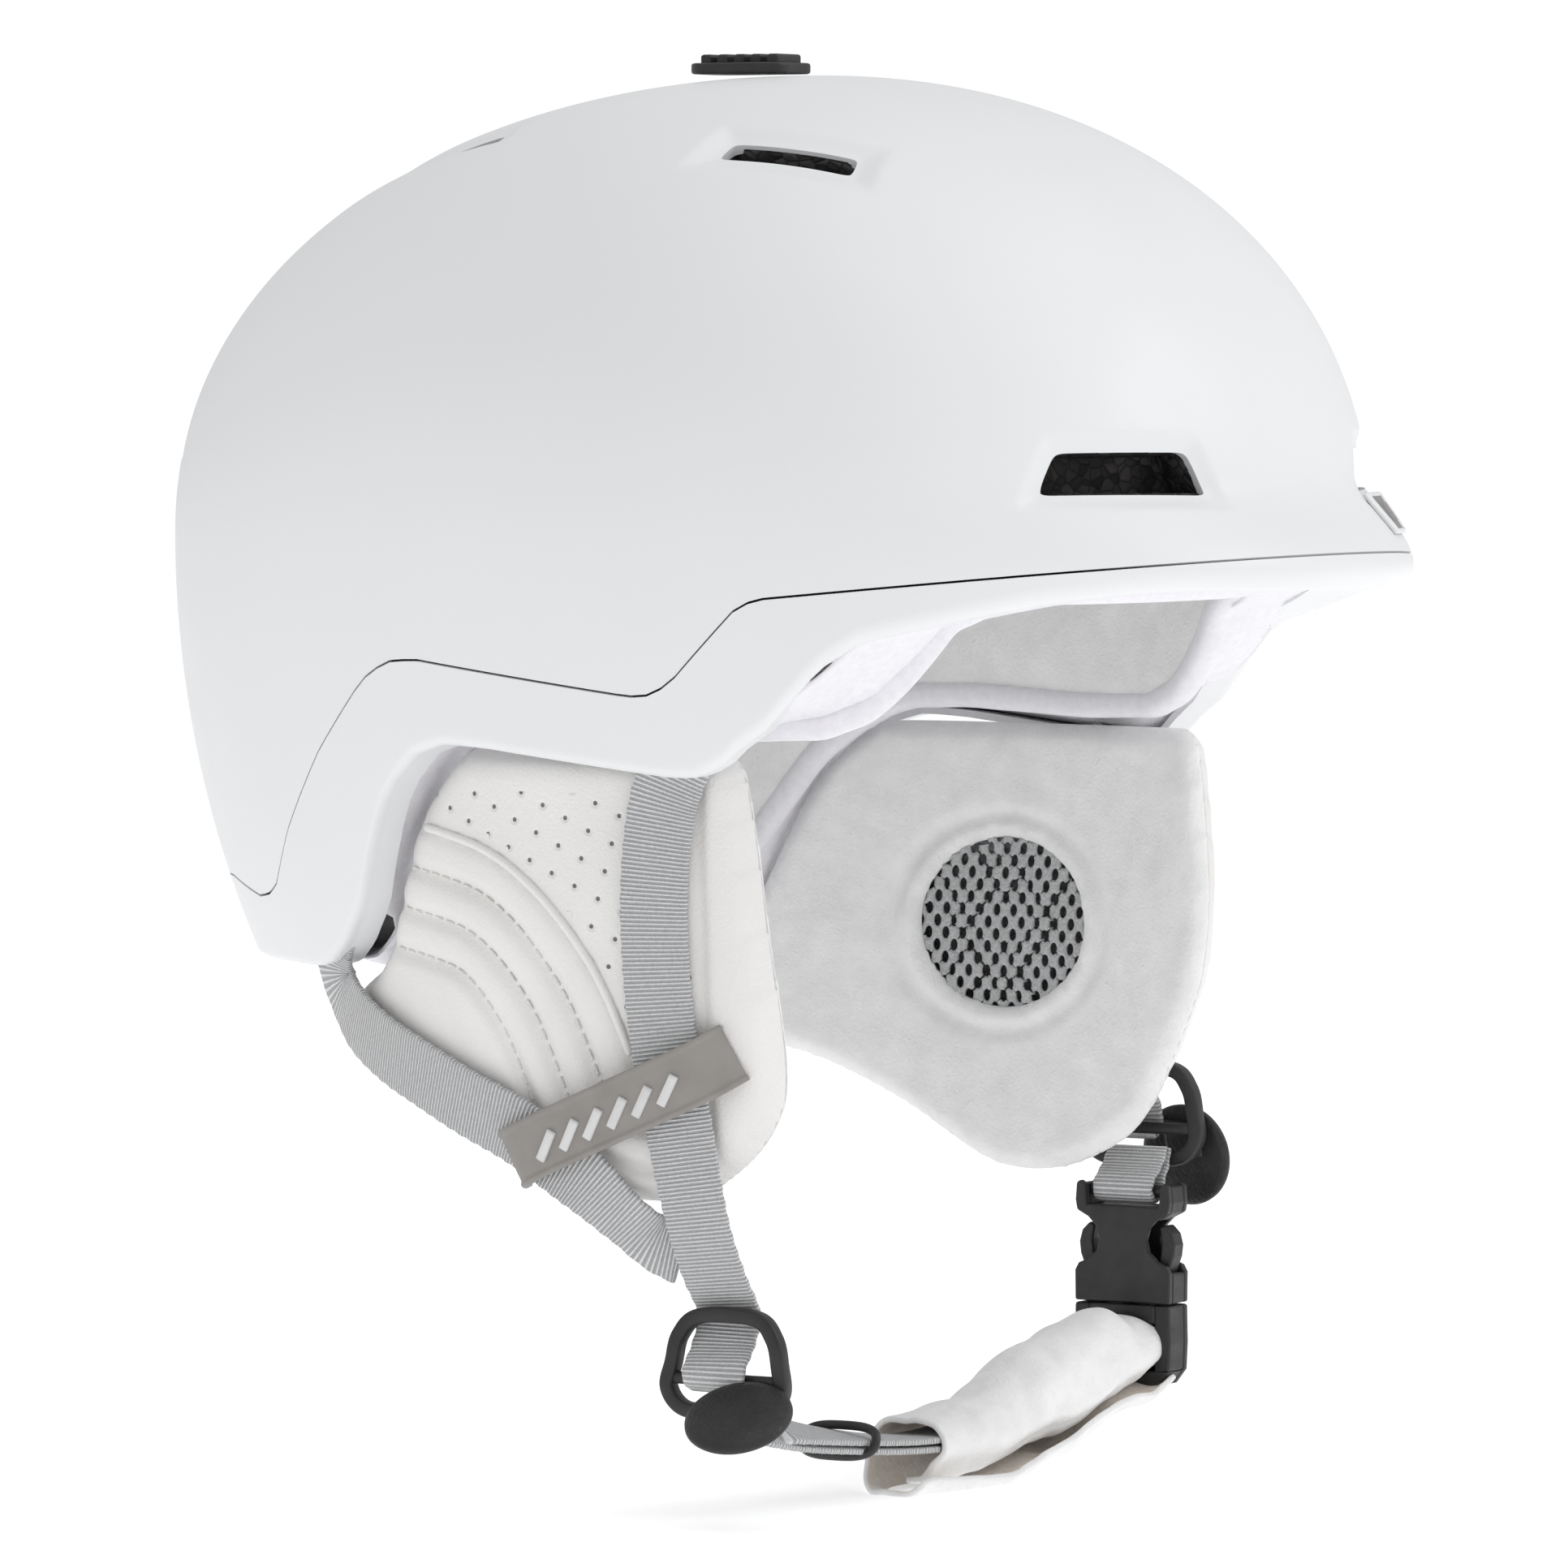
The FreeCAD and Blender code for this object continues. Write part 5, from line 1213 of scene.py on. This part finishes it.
for side, word, shift in ((-1, "right", 0), (1, "left", 10)):
    places = ((20.4, -130.2, 0.6), (18.6, -129.3, 3.2), (14, -127.2, 5.0), (6, -123.6, 5.7),
              (-5, -118.8, 5.8),
              (-17, -113.4, 5.8), (-25.5, -109.4, 5.4), (-29.6, -107.2, 3.6), (-31.4, -106.2, 0.2))
    stations = [on_pad(side, y, z + shift, lift) for y, z, lift in places]
    bm = bmesh.new()
    add_sweep(bm, stations, keeper_section, 56, 150)
    for number in range(6):
        y_middle = 9.5 - number * 5.6
        z_middle = -125.2 + number * 2.5 + shift
        ends = [on_pad(side, y_middle - 1.1 - 1.6 * end, z_middle + 3.1 * end - 0.3, 6.75)
                for end in (-1, 0, 1)]
        verts_before = set(bm.verts)
        add_sweep(bm, ends, oval_section(0.0021, 0.0012, 0.5), 12, 8)
        for face in bm.faces:
            if all(vert not in verts_before for vert in face.verts):
                face.material_index = 1
    keeper = keep_piece("strap_keeper_band_" + word, bm, [keeper_rubber, bar_rubber], "ear_" + word)
    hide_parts("strap_keeper_" + word)

# Strap adjusters: a black D frame that the front strap doubles through, and a round locking flap
# that leans out from its lower bar.
pebbled_plastic = black_plastic.copy()
pebbled_plastic.name = "pebbled black plastic"
nodes, links = pebbled_plastic.node_tree.nodes, pebbled_plastic.node_tree.links
add_bump(nodes, links, nodes["Principled BSDF"], noise_on(nodes, links, 1100, 2), 0.0004, 0.6)
D_LINE = [(9.9, -7.5), (9.9, 5.8), (5.8, 10.9), (0, 12.6), (-5.6, 13.8), (-9.9, 9.6), (-9.9, 0), (-9.9, -9.6),
          (-5.8, -13.8), (0, -13.4), (5.8, -12.0)]
for side, word in ((-1, "right"), (1, "left")):
    middle = FRAME_MIDDLES[side]
    bm = bmesh.new()
    add_sweep(bm, [(middle + mm(0, y, z), (side, 0, 0)) for z, y in D_LINE],
              oval_section(0.0033, 0.0035, 0.45), 20, 120,
              closed=True)
    bar = [middle + mm(0, y, -3.4) for y in (-13, 0, 13)]
    add_sweep(bm, [(point, (side, 0, 0)) for point in bar], oval_section(0.0027, 0.0027, 0.7), 14, 12)
    ring_frame = keep_piece("adjuster_ring_" + word, bm, [black_plastic], "ear_" + word)
    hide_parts("adjuster_frame_" + word)

    if side < 0:
        out, disc_middle = Vector((-0.54, -0.12, 0.84)).normalized(), middle + mm(-11.2, -10, -9.5)
        neck = [(middle + mm(-11, -9.6, -10.6), out), (middle + mm(-6, -8, -8.8), out),
                (middle + mm(-2.9, -7, -6.6), (-1, 0, 0.4))]
    else:
        out, disc_middle = Vector((1, -0.1, 0.15)).normalized(), middle + mm(6.4, -8, -9.5)
        neck = [(middle + mm(5.6, -8, -9.5), out), (middle + mm(4.6, -8, -5), out),
                (middle + mm(3.6, -8, -2), out)]
    bm = bmesh.new()
    profile = [(0, 0.0016), (5, 0.0015), (9, 0.0011), (10.6, 0.0007), (11.4, 0.0001), (11.5, -0.0006),
               (11.1, -0.0011),
               (9.5, -0.0013), (0, -0.0013)]
    rings = []
    for radius, lift in profile[1:-1]:
        rings.append([bm.verts.new((radius / 1000 * math.cos(2 * math.pi * k / 64),
                                    radius / 1000 * math.sin(2 * math.pi * k / 64), lift))
                      for k in range(64)])
    for first, second in zip(rings, rings[1:]):
        for k in range(64):
            bm.faces.new((first[k], second[k], second[(k + 1) % 64], first[(k + 1) % 64]))
    for ring, lift in ((rings[0], profile[0][1]), (rings[-1], profile[-1][1])):
        top = bm.verts.new((0, 0, lift))
        for k in range(64):
            bm.faces.new((ring[k], ring[(k + 1) % 64], top))
    bmesh.ops.transform(bm, verts=bm.verts, matrix=Matrix.Translation(disc_middle)
                        @ out.to_track_quat("Z", "Y").to_matrix().to_4x4())
    add_sweep(bm, neck, oval_section(0.010, 0.0022, 0.5), 20, 12)
    bmesh.ops.recalc_face_normals(bm, faces=bm.faces)
    flap = keep_piece("locking_flap_" + word, bm, [pebbled_plastic], "flap_" + word)
    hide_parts("adjuster_flap_" + word)

# Chin strap: the webbing runs under the chin from the right adjuster to the buckle plug, doubled
# back on itself, with a rubber ring that holds the two layers together.
CHIN_LINE = [((-80, -26.5, -178.5), (-0.7, -0.3, 0.3)), ((-77, -27, -183.4), (-0.5, -0.45, 0.7)),
             ((-62, -27.2, -188.5), (-0.3, -0.35, 0.9)),
             ((-38, -28, -193), (-0.1, -0.15, 1)), ((-12, -30, -196), (0, 0, 1)),
             ((12, -31, -195.5), (0, 0, 1)),
             ((38, -32, -191.5), (0, 0, 1)), ((60, -32.5, -187.2), (0, 0, 1))]
bm = bmesh.new()
add_sweep(bm, [(mm(*point), normal) for point, normal in CHIN_LINE], web_section(), 28, 420)
second = [(mm(*point) + Vector(normal).normalized() * 0.0019, normal) for point, normal in CHIN_LINE[2:]]
add_sweep(bm, [(mm(-66, -27.2, -185.4), (-0.3, -0.35, 0.9))] + second, web_section(), 28, 360)
BUCKLE_LINE = [((58, -32.5, -185.2), (-0.15, 0, 1)), ((70, -32.5, -182.0), (-0.25, 0, 1)),
               ((79, -32.5, -178.9), (-0.1, 0, 1)),
               ((84, -32.5, -178.7), (0.5, 0, 0.9)), ((86.1, -32.5, -181.9), (1, 0, 0)),
               ((84, -32.5, -185.1), (0.5, 0, -0.9)),
               ((79, -32.5, -185.3), (0, 0, -1)), ((70, -32.5, -186.8), (0.2, 0, -1)),
               ((58, -32.5, -189.0), (0.2, 0, -1))]
add_sweep(bm, [(mm(*point), normal) for point, normal in BUCKLE_LINE], web_section(0.0014), 28, 240)
chin_web = keep_piece("chin_webbing", bm, [webbing], "chin_strap")
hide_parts("chin_strap")

ring_rubber, nodes, links, shader = new_material("black ring rubber", (0.018, 0.018, 0.018), 0.38)
links.new(ramp(nodes, links, noise_on(nodes, links, 300, 3), [(0.3, (0.014,) * 3), (0.7, (0.026,) * 3)]),
          shader.inputs["Base Color"])
ring_middle = mm(-38, -28, -192.1)
ring_stations = []
for k in range(24):
    angle = 2 * math.pi * k / 24
    away = Vector((0.08 * math.sin(angle), math.cos(angle), math.sin(angle)))
    reach = Vector((0.0022 * math.sin(angle), 0.0090 * signed_power(math.cos(angle), 0.7),
                    0.0031 * signed_power(math.sin(angle), 0.7)))
    ring_stations.append((ring_middle + reach, away))
bm = bmesh.new()
add_sweep(bm, ring_stations, oval_section(0.002, 0.002), 14, 120, closed=True)
keeper_ring = keep_piece("keeper_ring", bm, [ring_rubber], "chin_strap")
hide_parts("ring_keeper")

# Chin pad: one sheet of white fleece with a cream back, rolled once round the chin strap so that
# its free edge hangs below at the front.
cream_back, nodes, links, shader = new_material("cream fleece back", (0.86, 0.79, 0.71), 0.95)
shader.inputs["Sheen Weight"].default_value = 0.3
links.new(ramp(nodes, links, noise_on(nodes, links, 400, 5),
               [(0.3, (0.80, 0.72, 0.64)), (0.7, (0.90, 0.84, 0.77))]),
          shader.inputs["Base Color"])
add_bump(nodes, links, shader, noise_on(nodes, links, 900, 4), 0.0005, 0.6)
PAD_AXIS = [(-28, -30, -196.6), (-14, -30, -196.5), (12, -31, -196), (40, -32, -191.5), (70, -32.6, -184.6),
            (86, -33, -181)]
TOP_RISE = [(-28, 5.8), (-8, 6.6), (10, 8), (24, 11.2), (34, 13.8), (49, 14.6), (65, 12.4), (75, 8.8),
            (86, 4)]
FLAP_DROP = [(-28, 3), (-22, 8.6), (-2, 14.4), (20, 10.6), (52, 11.6), (68, 8.4), (86, 7.5)]


def value_on(line, place):
    """Value of a table of (place, value...) rows at a place, eased between rows."""
    for before, after in zip(line, line[1:]):
        if place <= after[0]:
            share = min(max((place - before[0]) / (after[0] - before[0]), 0), 1)
            mixed = [low + (high - low) * ease(share) for low, high in zip(before[1:], after[1:])]
            return mixed if len(mixed) > 1 else mixed[0]
    return list(line[-1][1:]) if len(line[-1]) > 2 else line[-1][1]


bm = bmesh.new()
bmesh.ops.create_grid(bm, x_segments=120, y_segments=150, size=0.5)
for vert in bm.verts:
    share_along, share_round = vert.co.x + 0.5, vert.co.y + 0.5
    angle = -100 + 430 * share_round
    outer = ease((angle - 170) / 100)
    begin = -12 - 11 * outer + 0.6 * math.sin(angle / 23)
    end = 80 + 2.5 * outer - 3 * math.sin(math.radians(angle)) ** 2 + 0.5 * math.sin(angle / 17)
    x_place = begin + (end - begin) * share_along
    y_axis, z_axis = value_on(PAD_AXIS, x_place)
    rise, drop = value_on(TOP_RISE, x_place), value_on(FLAP_DROP, x_place)
    radius = value_on([(-100, drop * 0.55), (-30, 7.2), (0, 9.2), (90, rise), (180, 10.6), (270, drop),
                       (330, 10.4 + drop * 0.2)], angle)
    free = ease((angle - 285) / 40)
    radius += free * (1.1 * math.sin(x_place / 11) + 0.4 * math.sin(x_place / 5.2 + 1)) + 0.5
    radius += noise.noise(Vector((x_place / 17, angle / 70, 0))) * 0.9 + noise.noise(Vector((x_place / 6,
        angle / 28, 4))) * 0.35
    radians = math.radians(angle)
    vert.co = mm(x_place, y_axis - radius * math.cos(radians), z_axis + radius * math.sin(radians))
bmesh.ops.recalc_face_normals(bm, faces=bm.faces)
if sum(face.normal.z for face in bm.faces if face.calc_center_median().z > -0.19) < 0:
    bmesh.ops.reverse_faces(bm, faces=bm.faces)
chin_fleece = keep_piece("chin_fleece", bm, [fleece, cream_back], "chin_strap")
pad_wall = add_wall(chin_fleece, 0.0014)
pad_wall.material_offset = 1
finer = chin_fleece.modifiers.new("finer", "SUBSURF")
finer.levels = finer.render_levels = 1
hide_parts("chin_pad")

# Buckle: a side release buckle. The socket hangs from the left adjuster by a short loop of
# webbing; the plug is sewn to the chin strap and reaches into the socket with three prongs.
BUCKLE_MIDDLE = mm(83, -32, 0)
HALF_OUTLINE = [(12, -172), (12.1, -165.2), (11.2, -163.6), (8.8, -162.6), (6.6, -160.6), (6.0, -158),
                (6.8, -155.2), (8.8, -153.2),
                (11.6, -151.8), (12, -149.5), (11.7, -145.6), (10.6, -145), (9.6, -145.8), (9.2, -150.4)]


def add_plate(bm, outline, low, high):
    """Plate in the buckle's plane from an outline of (across, height), between two depths, in millimetres."""
    face = bm.faces.new([bm.verts.new(BUCKLE_MIDDLE + mm(low, across, height)) for across, height in outline])
    raised = bmesh.ops.extrude_face_region(bm, geom=[face])
    bmesh.ops.translate(bm, verts=[item for item in raised["geom"] if isinstance(item, bmesh.types.BMVert)],
                        vec=mm(high - low, 0, 0))


def both_halves(outline):
    return outline + [(-across, height) for across, height in reversed(outline)]


bm = bmesh.new()
add_plate(bm, both_halves(HALF_OUTLINE), -4.5, -2.7)
add_plate(bm, both_halves(HALF_OUTLINE), 2.7, 4.5)
for hand in (1, -1):
    add_plate(bm, [(hand * 12, -172), (hand * 12.1, -165.3), (hand * 11, -165), (hand * 11, -172)], -2.75,
              2.75)
    add_plate(bm, [(hand * 8.6, -153.4), (hand * 11.5, -151.9), (hand * 12, -149.5), (hand * 11.6, -145.7),
                   (hand * 9.7, -145.9), (hand * 9.2, -150.6)], -2.75, 2.75)
add_plate(bm, [(8.6, -153.6), (9.2, -150.5), (-9.2, -150.5), (-8.6, -153.6)], -2.75, 2.75)
bmesh.ops.recalc_face_normals(bm, faces=bm.faces)
add_sweep(bm, [(BUCKLE_MIDDLE + mm(0, across, -147.2), (1, 0, 0)) for across in (-10, 0, 10)],
          oval_section(0.0027, 0.0027), 14, 10)
socket = keep_piece("buckle_socket_body", bm, [black_plastic], "buckle_socket", smooth=False)
add_edge_round(socket, 0.0006, 2, 40)
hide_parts("buckle_socket")

bm = bmesh.new()
add_plate(bm, both_halves([(12, -172.4), (12.2, -181), (11.9, -187), (9.4, -190.2), (4, -191.4)]), 2.4, 4.5)
for hand in (1, -1):
    add_plate(bm,
              [(hand * 8.2, -172.4), (hand * 12, -172.4), (hand * 12.2, -181), (hand * 11.9, -187),
               (hand * 8.2, -187.5)], -4.5, 2.45)
    add_plate(bm,
              [(hand * 7.2, -173), (hand * 10.4, -173), (hand * 10.6, -165), (hand * 11.9, -161.6),
               (hand * 12.2, -159),
                   (hand * 11.5, -156.4), (hand * 9.6, -154.5), (hand * 8.2, -155), (hand * 8.8, -158.4),
                   (hand * 8.2, -163),
                   (hand * 7.2, -168)], -2.3, 2.3)
add_plate(bm, both_halves([(8.4, -172.4), (8.4, -176.6)]), -4.5, 2.45)
add_plate(bm, both_halves([(8.4, -180.6), (8.4, -183.2)]), -1.6, 2.0)
add_plate(bm, both_halves([(11.9, -187), (9.4, -190.2), (4, -191.4)]), -4.5, 2.45)
add_plate(bm, both_halves([(1.4, -173), (1.4, -156)]), -1.8, 1.8)
bmesh.ops.recalc_face_normals(bm, faces=bm.faces)
plug = keep_piece("buckle_plug_body", bm, [black_plastic], "chin_strap", smooth=False)
add_edge_round(plug, 0.0006, 2, 40)
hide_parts("buckle_plug")

LOOP_LINE = [((89.2, -138), (1, 0, 0)), ((88.4, -141.5), (1, 0, 0.1)), ((86.6, -144.6), (1, 0, 0.2)),
             ((85.4, -147.4), (1, 0, 0)),
             ((83, -149.5), (0, 0, -1)), ((80.7, -147.2), (-1, 0, 0)), ((81.8, -144.6), (-0.8, 0, 0.5)),
             ((84.6, -142.2), (-0.7, 0, 0.5)),
             ((87.0, -139.2), (-1, 0, 0.2)), ((87.4, -137.6), (-1, 0, 0))]
bm = bmesh.new()
add_sweep(bm, [(mm(x, -31, z), normal) for (x, z), normal in LOOP_LINE], web_section(0.0013), 28, 200)
buckle_web = keep_piece("buckle_webbing", bm, [webbing], "buckle_socket")
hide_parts("buckle_strap")

# Anchors and hidden mechanism: steel anchor plates and hinge pin, black tack stitches where the
# front straps are sewn, and black plastic for the dial, racks, shutter and goggle clip.
steel, nodes, links, shader = new_material("zinc plated steel", (0.55, 0.55, 0.56), 0.35)
shader.inputs["Metallic"].default_value = 1.0
links.new(ramp(nodes, links, noise_on(nodes, links, 200, 4), [(0.3, (0.28,) * 3), (0.7, (0.42,) * 3)]),
          shader.inputs["Roughness"])
for node_name, material in (("front_anchors", steel), ("rear_anchors", steel), ("goggle_clip_pin", steel),
                            ("slider_shutter", black_plastic), ("fit_dial", black_plastic),
                            ("fit_pinion", black_plastic),
                            ("fit_housing", black_plastic), ("fit_bracket", black_plastic),
                            ("fit_rack_left", black_plastic), ("fit_rack_right", black_plastic),
                            ("goggle_clip_base", black_plastic), ("goggle_clip_tongue", black_plastic)):
    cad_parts[node_name].data.materials.clear()
    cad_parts[node_name].data.materials.append(material)
black_thread, nodes, links, shader = new_material("black thread", (0.03, 0.03, 0.03), 0.7)
links.new(ramp(nodes, links, noise_on(nodes, links, 1800, 2), [(0.3, (0.022,) * 3), (0.7, (0.045,) * 3)]),
          shader.inputs["Base Color"])
bm = bmesh.new()
for row in range(3):
    line = [(on_pad(1, -27.5 + 11 * share, -47.6 - 2.2 * row - 2 * share, 2.7)[0], None)
            for share in (0, 0.5, 1)]
    add_stitches(bm, line, 0.0016, 0.0012, 0.00022)
keep_piece("tack_stitches", bm, [black_thread], "ear_left")
